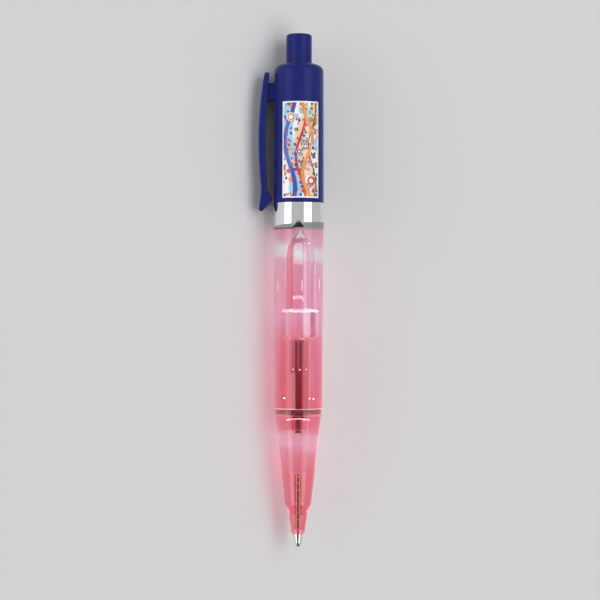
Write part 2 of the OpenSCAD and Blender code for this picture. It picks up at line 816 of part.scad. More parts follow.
push_button();
upper_barrel();
clip();
label();
cam_guide();
cam_rotor();
contact_pin();
return_spring();
contact_strip();
cell_carrier();
button_cell(1);  // button_cell_1
button_cell(2);  // button_cell_2
button_cell(3);  // button_cell_3
cell_spring();
lamp();
lamp_anode();
lamp_cathode();
plated_ring();
clear_barrel();
front_cone();
refill_sleeve();
refill_tube();
ink_column();
refill_socket();
writing_point();
point_ball();
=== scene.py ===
import json
import math

import bmesh
import bpy
from mathutils import Matrix, Vector


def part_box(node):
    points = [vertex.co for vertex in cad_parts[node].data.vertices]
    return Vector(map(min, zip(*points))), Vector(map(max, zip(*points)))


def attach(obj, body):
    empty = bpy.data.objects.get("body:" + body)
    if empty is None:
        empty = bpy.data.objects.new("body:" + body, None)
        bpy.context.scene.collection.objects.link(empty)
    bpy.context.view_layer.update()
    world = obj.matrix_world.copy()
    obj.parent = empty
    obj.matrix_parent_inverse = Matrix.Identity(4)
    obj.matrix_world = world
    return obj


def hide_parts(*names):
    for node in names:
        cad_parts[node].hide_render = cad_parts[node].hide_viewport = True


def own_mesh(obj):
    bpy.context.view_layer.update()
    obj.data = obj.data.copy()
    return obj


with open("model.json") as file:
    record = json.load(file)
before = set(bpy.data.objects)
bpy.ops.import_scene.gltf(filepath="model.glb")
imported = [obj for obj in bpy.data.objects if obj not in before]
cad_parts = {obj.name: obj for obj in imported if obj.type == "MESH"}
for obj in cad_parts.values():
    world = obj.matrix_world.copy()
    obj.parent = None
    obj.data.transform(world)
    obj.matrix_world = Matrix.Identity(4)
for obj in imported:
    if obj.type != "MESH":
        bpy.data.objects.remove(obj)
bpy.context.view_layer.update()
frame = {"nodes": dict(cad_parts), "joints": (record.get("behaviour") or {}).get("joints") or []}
scene = bpy.context.scene
mm = 0.001

# The pen's own frame: z runs up its axis from the tip, the clip is at -x, the label faces -y
flexAxis = next(j for j in frame["joints"] if j["name"] == "clip_flex")["axis"]
roll = math.atan2(flexAxis[0], -flexAxis[2])  # how far the pen leans over on its clip
ringLow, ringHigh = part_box("plated_ring")
axisX, axisZ = (ringLow.x + ringHigh.x) / 2, (ringLow.z + ringHigh.z) / 2
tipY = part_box("point_ball")[0].y
across = Vector((math.cos(roll), 0, math.sin(roll)))  # its +x in the shared frame
labelSide = Vector((-math.sin(roll), 0, math.cos(roll)))  # its -y
penUp = Vector((0, 1, 0))  # its +z


def axesAt(at, x, y, z):
    return Matrix.Translation(at) @ Matrix((x, y, z)).transposed().to_4x4()


penPlace = axesAt(Vector((axisX, tipY, axisZ)), across, -labelSide, penUp)
print("frame loaded, pen leans", round(math.degrees(roll), 2), "degrees")


# Nodes
def add(tree, kind, inputs=None, **settings):
    node = tree.nodes.new(kind if kind.startswith("NodeGroup") else "ShaderNode" + kind)
    for key, value in settings.items():
        setattr(node, key, value)
    for key, value in (inputs or {}).items():
        if isinstance(value, bpy.types.NodeSocket):
            tree.links.new(value, node.inputs[key])
        else:
            node.inputs[key].default_value = value
    return node


def feed(tree, node, **sockets):
    for label, value in sockets.items():
        tree.links.new(value, node.inputs[label.replace("_", " ")])


def calc(tree, how, a, b=0.0, c=0.0):
    return add(tree, "Math", {0: a, 1: b, 2: c}, operation=how).outputs[0]


def dot(tree, where, axis):
    return add(tree, "VectorMath", {0: where, 1: axis}, operation="DOT_PRODUCT").outputs["Value"]


def spread(tree, value, low, high, outLow=0.0, outHigh=1.0):  # maps a range to another, with soft ends
    return add(tree, "MapRange", {"Value": value, "From Min": low, "From Max": high, "To Min": outLow,
                                  "To Max": outHigh}, interpolation_type="SMOOTHSTEP").outputs[0]


def noise(tree, where, scale, detail, size=None, **more):  # size is a socket that multiplies the scale
    scale = scale if size is None else calc(tree, "MULTIPLY", size, scale)
    return add(tree, "TexNoise", {"Vector": where, "Scale": scale, "Detail": detail, **more}).outputs["Fac"]


def stretched(tree, where, scale, turn=(0.0, 0.0, 0.0)):
    return add(tree, "Mapping", {"Vector": where, "Rotation": turn, "Scale": scale}).outputs[0]


def blendColour(tree, share, a, b):  # each colour is a socket or three numbers
    a, b = ((*c, 1) if isinstance(c, tuple) else c for c in (a, b))
    return add(tree, "Mix", {0: share, 6: a, 7: b}, data_type="RGBA").outputs[2]


def ramp(tree, value, stops, between="LINEAR"):
    node = add(tree, "ValToRGB", {0: value})
    node.color_ramp.interpolation = between
    marks = node.color_ramp.elements
    while len(marks) < len(stops):
        marks.new(0.5)
    for mark, (at, colour) in zip(marks, stops):
        mark.position = at
        mark.color = (*colour, 1)
    return node.outputs[0]


def newGroup(name, ins, outs, kind="Float"):
    tree = bpy.data.node_groups.new(name, "ShaderNodeTree")
    for label, value in ins.items():
        tree.interface.new_socket(label, in_out="INPUT", socket_type="NodeSocketFloat").default_value = value
    for label in outs:
        tree.interface.new_socket(label, in_out="OUTPUT", socket_type="NodeSocket" + kind)
    return tree, add(tree, "NodeGroupInput"), add(tree, "NodeGroupOutput")


def place(tree, made, **values):  # puts a group into a material with its own values
    return add(tree, "Group", values, node_tree=made)


# Noise scales of the groups
grain = {"peel": 4200.0, "mottle": 320.0, "flow": 2600.0, "smear": 210.0, "hair": 5200.0, "tone": 900.0,
         "waves": 210.0, "cloud": 130.0}


def moulded():  # skin of a moulded plastic: fine peel, slow mottle and faint flow lines up the piece
    tree, ins, outs = newGroup("mouldedSkin", {"Scale": 1.0, "Flow": 0.3}, ("Height", "Mottle"))
    where, size = add(tree, "TexCoord").outputs["Object"], ins.outputs["Scale"]
    peel = noise(tree, where, grain["peel"], 2.0, size)
    slow = noise(tree, where, grain["mottle"], 4.0, size)
    flow = noise(tree, stretched(tree, where, (1.0, 0.03, 1.0)), grain["flow"], 2.0, size)
    rough = calc(tree, "ADD", peel, calc(tree, "MULTIPLY", flow, ins.outputs["Flow"]))
    feed(tree, outs, Height=calc(tree, "MULTIPLY_ADD", slow, 0.5, rough), Mottle=spread(tree, slow, 0.3, 0.7))
    return tree


def handled():  # smears and hair scratches that handling leaves
    tree, ins, outs = newGroup("handMarks", {"Scale": 1.0}, ("Smudge", "Scratch"))
    where, size = add(tree, "TexCoord").outputs["Object"], ins.outputs["Scale"]
    smear = noise(tree, where, grain["smear"], 5.0, size, Distortion=0.7)
    hair = noise(tree, stretched(tree, where, (1.0, 0.02, 1.0), (0.3, 0.0, 0.2)), grain["hair"], 1.0, size)
    feed(tree, outs, Smudge=spread(tree, smear, 0.48, 0.72), Scratch=spread(tree, hair, 0.68, 0.74))
    return tree


def turnedMetal():  # rings that a lathe tool leaves round the axis
    tree, ins, outs = newGroup("turnedRings", {"Pitch": 9000.0}, ("Height", "Tone"))
    where = add(tree, "TexCoord").outputs["Object"]
    cuts = noise(tree, stretched(tree, where, (0.02, 1.0, 0.02)), ins.outputs["Pitch"], 2.0)
    feed(tree, outs, Height=cuts, Tone=spread(tree, noise(tree, where, grain["tone"], 4.0), 0.3, 0.7))
    return tree


# Colours by height above the tip in mm: glow painted into the plastic's emission, the skin's dye with painted
# highlight bands, the dye of the bores, the tint of a painted reflection, and the tube's dye
heights = {
    "paintedLampGlow": {
        0: (0.62, 0.05, 0.10), 11: (0.70, 0.07, 0.13), 20: (0.72, 0.10, 0.16), 26.5: (0.74, 0.36, 0.47),
        30: (0.74, 0.38, 0.50), 34: (0.70, 0.06, 0.10), 42: (0.70, 0.09, 0.14), 58: (0.72, 0.19, 0.28),
        70: (0.74, 0.24, 0.34), 80: (0.72, 0.42, 0.50), 88: (0.66, 0.28, 0.36),
    },
    "skinDyeAndPaintedHighlight": {
        0: (0.657, 0.22, 0.27), 8: (0.657, 0.22, 0.27), 10: (0.572, 0.16, 0.21), 13: (0.625, 0.22, 0.27),
        22: (0.604, 0.22, 0.27), 26: (0.604, 0.24, 0.29), 28: (0.636, 0.44, 0.53), 31: (0.625, 0.46, 0.54),
        31.7: (0.583, 0.30, 0.37), 56: (0.594, 0.32, 0.40), 62: (0.594, 0.50, 0.60), 72: (0.594, 0.49, 0.57),
        # 79.5 to 81.4 mm: a whitish painted highlight band
        77.5: (0.57, 0.50, 0.58), 79.5: (0.57, 0.90, 0.83), 81.4: (0.57, 0.90, 0.83),
        83.2: (0.625, 0.48, 0.57), 88: (0.594, 0.47, 0.55),
    },
    "boreDye": {
        0: (0.99, 0.92, 0.94), 32: (0.99, 0.92, 0.94), 35: (0.95, 0.68, 0.72), 56.5: (0.95, 0.68, 0.72),
        57.5: (0.98, 0.9, 0.93), 64: (0.98, 0.9, 0.93), 65: (0.93, 0.68, 0.75), 76: (0.93, 0.69, 0.76),
        79: (0.95, 0.88, 0.88), 100: (0.95, 0.88, 0.88),
    },
    "reflectionTintByHeight": {
        0: (0.93, 0.62, 0.68), 74.4: (0.93, 0.62, 0.68), 76.9: (0.94, 0.72, 0.76), 78.8: (0.87, 0.93, 0.93),
        100: (0.87, 0.93, 0.93),
    },
    "tubeDye": {0: (0.82, 0.82, 0.73), 100: (0.82, 0.82, 0.73)},
}
span = 100  # mm that these colours cover
redShare = 0.5  # how much of a change in shade the red takes up


def byHeight(name, stops):
    values = {"Cloud": 0.12, "Wobble": 0.0, "Slant": 0.0, "Pale": 0.0}
    tree, ins, outs = newGroup(name, values, ("Colour",), "Color")
    where = add(tree, "TexCoord").outputs["Object"]
    side = calc(tree, "SUBTRACT", dot(tree, where, across), across.dot(Vector((axisX, 0, axisZ))))
    waves, cloud = (calc(tree, "SUBTRACT", noise(tree, where, grain[kind], detail), 0.5)
                    for kind, detail in (("waves", 2.0), ("cloud", 3.0)))
    height = add(tree, "SeparateXYZ", {0: where}).outputs[1]
    height = calc(tree, "MULTIPLY_ADD", side, ins.outputs["Slant"], height)
    height = calc(tree, "MULTIPLY_ADD", waves, ins.outputs["Wobble"], height)
    share = calc(tree, "DIVIDE", calc(tree, "SUBTRACT", height, tipY), span * mm)
    colour = ramp(tree, share, [(z / span, c) for z, c in stops.items()])
    dim = calc(tree, "MULTIPLY_ADD", cloud, ins.outputs["Cloud"], 1.0)
    # painted side light: the tint grows lighter towards +x, darker where the value is negative
    dim = calc(tree, "MULTIPLY_ADD", side, ins.outputs["Pale"], dim)
    red = calc(tree, "MULTIPLY_ADD", dim, redShare, 1 - redShare)
    shade = add(tree, "CombineXYZ", {0: red, 1: dim, 2: dim}).outputs[0]
    feed(tree, outs, Colour=add(tree, "VectorMath", {0: colour, 1: shade}, operation="MULTIPLY").outputs[0])
    return tree


skinGroup, marksGroup, turnGroup = moulded(), handled(), turnedMetal()
tints = {name: byHeight(name, stops) for name, stops in heights.items()}


def newMaterial(name, **values):  # a Principled material with its plain values set on the shader
    made = bpy.data.materials.new(name)
    made.use_nodes = True
    shader = made.node_tree.nodes["Principled BSDF"]
    for label, value in values.items():
        shader.inputs[label.replace("_", " ")].default_value = value
    return made, made.node_tree, shader


def bump(tree, height, depth):
    return add(tree, "Bump", {"Strength": 1.0, "Distance": depth * mm, "Height": height}).outputs[0]


def plastic(name, colour, shade, rough=(0.24, 0.36), depth=0.006, **values):
    made, tree, shader = newMaterial(name, **values)
    skin, marks = place(tree, skinGroup), place(tree, marksGroup)
    wipe = calc(tree, "MAXIMUM", marks.outputs["Smudge"], marks.outputs["Scratch"])
    feed(tree, shader, Base_Color=blendColour(tree, skin.outputs["Mottle"], shade, colour),
         Roughness=spread(tree, wipe, 0, 1, *rough), Normal=bump(tree, skin.outputs["Height"], depth))
    return made


def metal(name, colour, shade, rough=(0.16, 0.3), depth=0.002, **values):
    made, tree, shader = newMaterial(name, **{"Metallic": 1.0, **values})
    turned, marks = place(tree, turnGroup), place(tree, marksGroup, Scale=2.0)
    feed(tree, shader, Base_Color=blendColour(tree, turned.outputs["Tone"], shade, colour),
         Roughness=spread(tree, marks.outputs["Smudge"], 0, 1, *rough),
         Normal=bump(tree, turned.outputs["Height"], depth))
    return made


clearLook = {"ior": 1.49, "skin": {"Scale": 0.35, "Flow": 0.6}, "shift": {"Wobble": 2.4 * mm, "Slant": 0.2},
             "bump": 0.01, "dim": 0.45, "shadow": (0.97, 0.66, 0.73)}


def clear(name, dye, deep=None, glow=0.0, light=None, rough=(0.0, 0.05), pale=29.0, **values):
    # dye is one of the tints by height, or a colour that mottles into the deep one
    look = clearLook
    plain = {"Transmission_Weight": 1.0, "IOR": look["ior"], "Emission_Strength": glow}
    made, tree, shader = newMaterial(name, **{**plain, **values})
    skin, marks = place(tree, skinGroup, **look["skin"]), place(tree, marksGroup)
    mottle = skin.outputs["Mottle"]
    if deep:
        colour = blendColour(tree, mottle, deep, dye)
    else:
        # pale sets the painted side light of a tint by height
        colour = place(tree, dye, Pale=pale, **look["shift"]).outputs["Colour"]
    # the emission paints a glow into the plastic, lighter in some bands
    if light:
        shine = blendColour(tree, mottle, tuple(look["dim"] * c for c in light), light)
    else:
        shine = place(tree, tints["paintedLampGlow"]).outputs["Colour"]
    feed(tree, shader, Base_Color=colour, Emission_Color=shine,
         Roughness=spread(tree, marks.outputs["Smudge"], 0, 1, *rough),
         Normal=bump(tree, skin.outputs["Height"], look["bump"]))
    through = add(tree, "BsdfTransparent", {"Color": (*look["shadow"], 1)}).outputs[0]
    ray = add(tree, "LightPath").outputs["Is Shadow Ray"]
    mixed = add(tree, "MixShader", {0: ray, 1: shader.outputs[0], 2: through})
    feed(tree, tree.nodes["Material Output"], Surface=mixed.outputs[0])
    return made


bluePlastic = plastic("bluePlastic", (0.018, 0.023, 0.162), (0.015, 0.019, 0.134), Specular_IOR_Level=0.2,
                      Specular_Tint=(0.4, 0.46, 1.0, 1), Sheen_Weight=0.2, Sheen_Roughness=0.2,
                      Sheen_Tint=(0.82, 0.8, 1.0, 1))
clearSkin = clear("clearSkin", tints["skinDyeAndPaintedHighlight"], glow=0.2, Sheen_Weight=1.0, Sheen_Roughness=0.22,
                  Sheen_Tint=(1, 0.82, 0.88, 1))
clearBore = clear("clearBore", tints["boreDye"], rough=(0.02, 0.08))
clearSleeve = clear("clearSleeve", (0.99, 0.95, 0.96), (0.985, 0.93, 0.94))
# a painted pink reflection on the chamber's wall
pinkPaintedReflection = clear("pinkPaintedReflection", (0.88, 0.38, 0.48), (0.84, 0.34, 0.44), rough=(0.02, 0.08))
frostRose = clear("frostRose", (0.74, 0.17, 0.23), (0.7, 0.14, 0.2), rough=(0.3, 0.4))

# Walls that a neighbour fills without an air gap bend no light
# painted side light: darker towards +x
wetBore = clear("wetBore", tints["boreDye"], pale=-90.0, IOR=1.0)
# The next three are strips of painted light and painted shade on the bore round the sleeve
wetPale = clear("wetPale", (0.995, 0.96, 0.97), (0.99, 0.94, 0.95), IOR=1.0)
wetPaintedShade = clear("wetPaintedShade", (0.9, 0.31, 0.37), (0.88, 0.29, 0.35), IOR=1.0)
wetPaintedWarmShade = clear("wetPaintedWarmShade", (0.97, 0.63, 0.68), (0.96, 0.6, 0.66), IOR=1.0)
wetSleeve = clear("wetSleeve", (0.99, 0.95, 0.96), (0.985, 0.93, 0.94), IOR=1.0)
clearSocket = clear("clearSocket", (0.995, 0.98, 0.985), (0.99, 0.97, 0.975), IOR=1.0)
grooveShade = clear("grooveShade", (0.62, 0.8, 0.7), (0.56, 0.75, 0.65), rough=(0.1, 0.2), IOR=1.0)
# painted side light: the tube's tint is darker towards +x and lighter towards -x
tubePlastic = clear("tubePlastic", tints["tubeDye"], rough=(0.02, 0.08), pale=-140.0, IOR=1.0)
# painted glow on one side of the tube, and painted shade on another
tubePaintedGlow = clear("tubePaintedGlow", (1.0, 1.0, 0.92), (0.98, 0.98, 0.9), glow=0.3, light=(0.4, 0.75, 0.65), IOR=1.0)
tubePaintedShade = clear("tubePaintedShade", (0.85, 0.5, 0.47), (0.8, 0.46, 0.43), IOR=1.0)

# Walls with painted reflection and painted shade, several with a painted glow, that let less light through
rosePaintedReflection = clear("rosePaintedReflection", (0.62, 0.095, 0.18), (0.56, 0.08, 0.155), glow=0.11, light=(0.8, 0.1, 0.16),
                 Transmission_Weight=0.06)
mauvePaintedShade = clear("mauvePaintedShade", (0.58, 0.22, 0.32), (0.46, 0.17, 0.26), Transmission_Weight=0.15)
palePinkPaintedReflection = clear("palePinkPaintedReflection", (0.58, 0.25, 0.36), (0.52, 0.21, 0.32), glow=0.08, light=(0.7, 0.34, 0.46),
                 Transmission_Weight=0.3)
recessPaintedReflection = clear("recessPaintedReflection", (0.6, 0.09, 0.15), (0.54, 0.07, 0.12), glow=0.06, light=(0.8, 0.15, 0.2),
                   Transmission_Weight=0.3)
tipPaintedShade = clear("tipPaintedShade", (0.34, 0.12, 0.18), (0.28, 0.1, 0.15), rough=(0.2, 0.3), Transmission_Weight=0.35)
# frosted, with a whitish painted highlight glow
frostedTipPaintedHighlight = clear("frostedTipPaintedHighlight", (0.68, 0.95, 0.92), (0.64, 0.91, 0.88), glow=0.36, light=(0.68, 0.95, 0.93),
                 rough=(0.3, 0.42), Transmission_Weight=0.55)
# a whitish painted reflection on the chamber's front wall
whitishPaintedReflection = clear("whitishPaintedReflection", tints["reflectionTintByHeight"], glow=0.1, rough=(0.2, 0.3), Transmission_Weight=0.75)

# Painted highlights: glowing edges, lines, rims and glints
paintedHighlightEdge = clear("paintedHighlightEdge", (0.99, 0.9, 0.92), (0.985, 0.86, 0.9), glow=0.9, light=(0.95, 0.9, 0.92))
paintedHighlightRim = clear("paintedHighlightRim", (0.99, 0.9, 0.92), (0.985, 0.86, 0.9), glow=1.4, light=(0.95, 0.88, 0.9))
edgeHighlightLine = clear("edgeHighlightLine", (0.9, 0.6, 0.68), (0.85, 0.52, 0.6), glow=0.3, light=(0.9, 0.66, 0.75))
faintHighlightLine, grooveHighlightLine = (
    clear(name, (0.98, 0.9, 0.92), (0.97, 0.88, 0.9), glow=glow, light=(0.9, 0.6, 0.68), IOR=1.0)
    for name, glow in (("faintHighlightLine", 0.5), ("grooveHighlightLine", 0.16)))
paintedSpark = clear("paintedSpark", (0.99, 0.95, 0.96), (0.98, 0.94, 0.95), glow=3.4, light=(0.95, 0.92, 0.94))
paintedGlintPatch = clear("paintedGlintPatch", (0.95, 0.8, 0.85), (0.9, 0.75, 0.8), glow=0.45,
                   light=(0.95, 0.85, 0.9), IOR=1.0)
paintedHighlightStreak = clear("paintedHighlightStreak", (0.97, 0.86, 0.9), (0.94, 0.82, 0.86), glow=0.7, light=(0.95, 0.85, 0.9))

ink = plastic("ink", (0.085, 0.005, 0.007), (0.06, 0.003, 0.004), rough=(0.2, 0.3), depth=0.002,
              Specular_IOR_Level=0.0)
# darker ink with a painted red glow
inkPaintedGlow = plastic("inkPaintedGlow", (0.06, 0.003, 0.004), (0.04, 0.002, 0.003), depth=0.002, Specular_IOR_Level=0.0,
                  Emission_Color=(0.8, 0.015, 0.025, 1), Emission_Strength=0.03)
inkFilm = plastic("inkFilm", (0.07, 0.006, 0.008), (0.05, 0.004, 0.006), rough=(0.2, 0.3), depth=0.002,
                  Specular_IOR_Level=0.0, Alpha=0.7)
# a painted dark reflection stripe down the writing point
paintedDarkStripe = plastic("paintedDarkStripe", (0.05, 0.008, 0.01), (0.03, 0.005, 0.006), depth=0.002, Specular_IOR_Level=0.1)
whitePlastic = plastic("whitePlastic", (0.8, 0.8, 0.78), (0.74, 0.74, 0.71), rough=(0.4, 0.52))
# Below the plated ring: a painted grey reflection band, a painted rose shade and a painted mauve shade
lipPaintedGreyReflection, lipPaintedRoseShade, lipShade = (
    plastic(name, colour, shade, rough=(0.3, 0.45), Specular_IOR_Level=0.15) for name, colour, shade in (
        ("lipPaintedGreyReflection", (0.3, 0.31, 0.31), (0.24, 0.25, 0.25)),
        ("lipPaintedRoseShade", (0.44, 0.32, 0.36), (0.34, 0.23, 0.27)),
        ("lipShade", (0.22, 0.14, 0.17), (0.16, 0.1, 0.13))))

plating = metal("plating", (0.93, 0.94, 0.95), (0.88, 0.89, 0.9), rough=(0.03, 0.07), depth=0.0004)
pointMetal = metal("pointMetal", (0.84, 0.83, 0.80), (0.74, 0.73, 0.69), rough=(0.1, 0.2))
shankMetal = metal("shankMetal", (0.5, 0.38, 0.3), (0.42, 0.3, 0.24), rough=(0.2, 0.3), Metallic=0.3)
# painted highlight stripes on the shank's sides
shankPaintedHighlight = metal("shankPaintedHighlight", (0.46, 0.54, 0.3), (0.38, 0.44, 0.24), rough=(0.2, 0.3), Metallic=0.3)
# the ball's own finish, also painted on the point's body inside the nose to paint it lighter
ballMetalAndPaintedLight = metal("ballMetalAndPaintedLight", (0.86, 0.86, 0.86), (0.76, 0.76, 0.77), rough=(0.4, 0.55), Metallic=0.1)
brass = metal("brass", (0.78, 0.58, 0.26), (0.66, 0.46, 0.18), rough=(0.2, 0.36))
springSteel = metal("springSteel", (0.6, 0.61, 0.63), (0.48, 0.49, 0.5))
cellSteel = metal("cellSteel", (0.7, 0.71, 0.72), (0.58, 0.59, 0.6), rough=(0.18, 0.32))
leadWire = metal("leadWire", (0.74, 0.74, 0.75), (0.6, 0.6, 0.62), rough=(0.3, 0.42))
print("materials ready")

# Shapes
filletSteps = 6
sharpTurn = 32  # degrees between faces that shade as an edge
slack = 0.02  # mm by which a face's middle may miss the surface that it belongs to


def soften(corners, closed=False):  # (r, z, fillet) corners to an outline with rounded corners
    outline = []
    last = len(corners) - 1
    for i, (r, z, fillet) in enumerate(corners):
        if not fillet or (not closed and i in (0, last)):
            outline.append((r, z))
            continue
        here = Vector((r, z))
        back = (Vector(corners[i - 1][:2]) - here).normalized()
        ahead = (Vector(corners[(i + 1) % len(corners)][:2]) - here).normalized()
        half = back.angle(ahead) / 2
        centre = here + (back + ahead).normalized() * fillet / math.sin(half)
        start = here + back * fillet / math.tan(half) - centre
        end = here + ahead * fillet / math.tan(half) - centre
        sweep = math.atan2(start.x * end.y - start.y * end.x, start.dot(end))
        for k in range(filletSteps + 1):
            a = sweep * k / filletSteps
            outline.append((centre.x + start.x * math.cos(a) - start.y * math.sin(a),
                            centre.y + start.x * math.sin(a) + start.y * math.cos(a)))
    return outline


def arc(cr, cz, r, fromDeg, toDeg, steps):
    turns = [math.radians(fromDeg + (toDeg - fromDeg) * k / steps) for k in range(steps + 1)]
    return [(cr + r * math.cos(a), cz + r * math.sin(a)) for a in turns]


def curve(a, b, c, steps):  # smooth bend from a to c, drawn towards b
    shares = [k / steps for k in range(steps + 1)]
    return [tuple((1 - t) ** 2 * p + 2 * t * (1 - t) * q + t * t * r for p, q, r in zip(a, b, c))
            for t in shares]


def unfilleted(points):
    return [(r, z, 0) for r, z in points]


def aside(r, a):  # distance to +x of a spot at a radius and a turn from -y
    return r * math.sin(math.radians(a))


def meshFrom(name, shape, sharp=sharpTurn):
    bmesh.ops.recalc_face_normals(shape, faces=shape.faces)
    mesh = bpy.data.meshes.new(name)
    shape.to_mesh(mesh)
    shape.free()
    mesh.shade_smooth()
    mesh.set_sharp_from_angle(angle=math.radians(sharp))
    return mesh


def vertAt(shape, r, a, z):
    return shape.verts.new((r * mm * math.cos(a), r * mm * math.sin(a), z * mm))


def skinRings(shape, rings, loop=False, capped=False):  # quads between neighbouring rings, or fans at a pole
    pairs = list(zip(rings, rings[1:])) + ([(rings[-1], rings[0])] if loop else [])
    for low, high in pairs:
        count = max(len(low), len(high))
        for k in range(count):
            n = (k + 1) % count
            corners = [low[k % len(low)], low[n % len(low)], high[n % len(high)], high[k % len(high)]]
            shape.faces.new(list(dict.fromkeys(corners)))
    for end in (rings[0], rings[-1]) if capped else ():
        shape.faces.new(end)


def lathe(name, sizes, corners, closed=False, steps=144):  # a corner holds numbers or names of sizes
    shape = bmesh.new()
    corners = [tuple(sizes.get(value, value) for value in corner) for corner in corners]
    turns = [math.tau * k / steps for k in range(steps)]
    pole = 1e-6
    rings = [[vertAt(shape, r, a, z) for a in (turns if r > pole else turns[:1])]
             for r, z in soften(corners, closed)]
    skinRings(shape, rings, loop=closed)
    return meshFrom(name, shape)


def paint(mesh, base, pick):  # pick names a face's material from its radius, height and turn from -y to +x
    mesh.materials.append(base)
    for face in mesh.polygons:
        x, y, z = face.center / mm
        skin = pick(math.hypot(x, y), z, math.degrees(math.atan2(x, -y))) or base
        if skin.name not in mesh.materials:
            mesh.materials.append(skin)
        face.material_index = mesh.materials.find(skin.name)
    return mesh


def piece(name, mesh, body, slot, *nodes, skin=None):  # lays a mesh of the pen's own frame down with the CAD
    mesh.transform(penPlace)
    made = bpy.data.objects.new(name, mesh)
    scene.collection.objects.link(made)
    if skin:
        mesh.materials.append(skin)
    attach(made, body)
    if nodes:
        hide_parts(*nodes)
    return made


# Clear barrel
barrel = {
    "low": 37.9, "lip": 86.55, "top": 87.9, "lowR": 6.45, "topR": 6.8, "seatR": 6.25, "edge": 0.22,
    "fine": 0.1, "bore": 3.4, "boreTop": 64.7, "step": 0.3, "litStep": 0.55, "sleeve": 56.8,
    "chamber": 2.75, "bullet": 77.0, "tip": 82.9, "tipR": 1.95, "point": 86.5, "rings": 12, "neckR": 5.4,
    "neckTop": 98.0, "lampZ": 90.0, "lampR": 2.55, "flangeZ": 95.1, "flangeR": 2.95, "driftZ": 57.4,
    "driftLen": 0.6, "drift": 0.33, "uneven": 0.11, "reflectionLow": 74.4,
}


def clearBarrelMesh(b):
    bullet = curve((b["chamber"], b["bullet"]), (b["chamber"], (b["bullet"] + 2 * b["tip"]) / 3),
                   (b["tipR"], b["tip"]), 16)
    shares = [k / b["rings"] for k in range(b["rings"])]
    tip = [(b["tipR"] * t, b["point"] + (b["tip"] - b["point"]) * t) for t in shares]
    lampEnd = arc(0, b["lampZ"], b["lampR"], 0, -90, 12)[:-1]
    return lathe("clear_barrel_body", b, unfilleted(tip + bullet[::-1]) + [
        ("chamber", "boreTop", "step"), ("bore", "boreTop", "step"),
        ("bore", b["boreTop"] - b["litStep"], 0), ("bore", b["driftZ"] + b["driftLen"], 0),
        ("bore", "driftZ", 0), ("bore", "low", "fine"), ("lowR", "low", "edge"), ("topR", "lip", "fine"),
        ("seatR", "lip", 0), ("seatR", "top", 0), ("neckR", "top", "fine"), ("neckR", "neckTop", "fine"),
        ("flangeR", "neckTop", 0), ("flangeR", "flangeZ", 0), ("lampR", "flangeZ", 0),
    ] + unfilleted(lampEnd) + [(0, b["lampZ"] - b["lampR"], 0)], steps=192)


def driftChamber(mesh, b):  # the core that made the chamber stood a little to one side
    for vert in mesh.vertices:
        x, y, z = vert.co / mm
        if math.hypot(x, y) > b["bore"] + slack or not b["driftZ"] + b["fine"] < z < b["point"] + b["fine"]:
            continue
        if abs(z - b["boreTop"]) < b["litStep"] + slack / 2:  # its shoulder is uneven
            turn = math.atan2(y, x)
            vert.co.z += b["uneven"] * (math.sin(5 * turn) + 0.6 * math.sin(11 * turn + 1)) * mm
        vert.co.x += b["drift"] * mm


chamberPaintedLight = (  # strips of painted reflection, shade and highlight on the chamber's wall: material, turn from and to, lowest height
    (mauvePaintedShade, 86, 106, barrel["bullet"]), (edgeHighlightLine, 86, 106, 0), (edgeHighlightLine, -106, -86, 0),
    (palePinkPaintedReflection, 30, 86, 0), (rosePaintedReflection, -86, -38, 0), (pinkPaintedReflection, 12, 30, barrel["reflectionLow"]),
    (whitishPaintedReflection, -30, 12, barrel["reflectionLow"]),
)
sleevePaintedLight = {  # strips of painted light and shade on the bore round the sleeve, by half: material, distance to +x from and to
    "front": ((wetPale, -9, -3.0), (wetPaintedWarmShade, -2.95, -2.35), (wetPaintedShade, 1.5, 2.38), (wetPale, 2.38, 9)),
    "back": ((wetPale, -9, -2.4), (wetPaintedWarmShade, -1.95, -1.55), (wetPaintedShade, 1.0, 1.58), (wetPale, 1.58, 9)),
}
# turns and heights of painted reflection, shade and highlight on the bullet's end
tipPaintedLight = {"front": 50, "side": 100, "pink": 0.5, "mauve": 1.25, "ripple": 0.14, "lobes": 6, "phase": 60}
shoulderPaintedShade = {"from": 43, "to": 72}


def tipSkin(rise, a):  # painted reflection, shade and highlight on the bullet's end, by height above its start
    t = tipPaintedLight
    if abs(a) > t["front"]:
        return tipPaintedShade if abs(a) < t["side"] else clearBore
    if rise < t["pink"]:
        return pinkPaintedReflection
    top = t["mauve"] + t["ripple"] * math.sin(math.radians(t["lobes"] * a + t["phase"]))
    return mauvePaintedShade if rise < top else frostedTipPaintedHighlight


def barrelSkin(r, z, a):
    b = barrel
    # painted highlight round the bottom edge
    if z < b["low"] + b["fine"]:
        return paintedHighlightEdge
    if r > b["bore"] + slack or z > b["point"]:
        return None
    if z > b["tip"]:
        return tipSkin(z - b["tip"], a)
    if z < b["sleeve"]:
        strips = sleevePaintedLight["front" if abs(a) < 90 else "back"]
        return next((skin for skin, left, right in strips if left < aside(r, a) < right), wetBore)
    if z > b["boreTop"] + b["step"]:
        for skin, left, right, low in chamberPaintedLight:
            if left < a < right and z > low:
                return skin
    # painted highlight along the step
    if abs(z - b["boreTop"]) < b["litStep"]:
        return paintedHighlightEdge
    # a strip of painted shade on one side of the bore below the step
    inShadeStrip = b["driftZ"] < z < b["boreTop"] and shoulderPaintedShade["from"] < a < shoulderPaintedShade["to"]
    return mauvePaintedShade if inShadeStrip else clearBore


barrelMesh = paint(clearBarrelMesh(barrel), clearSkin, barrelSkin)
driftChamber(barrelMesh, barrel)
piece("clear_barrel_body", barrelMesh, "barrel", "clear_plastic", "clear_barrel")

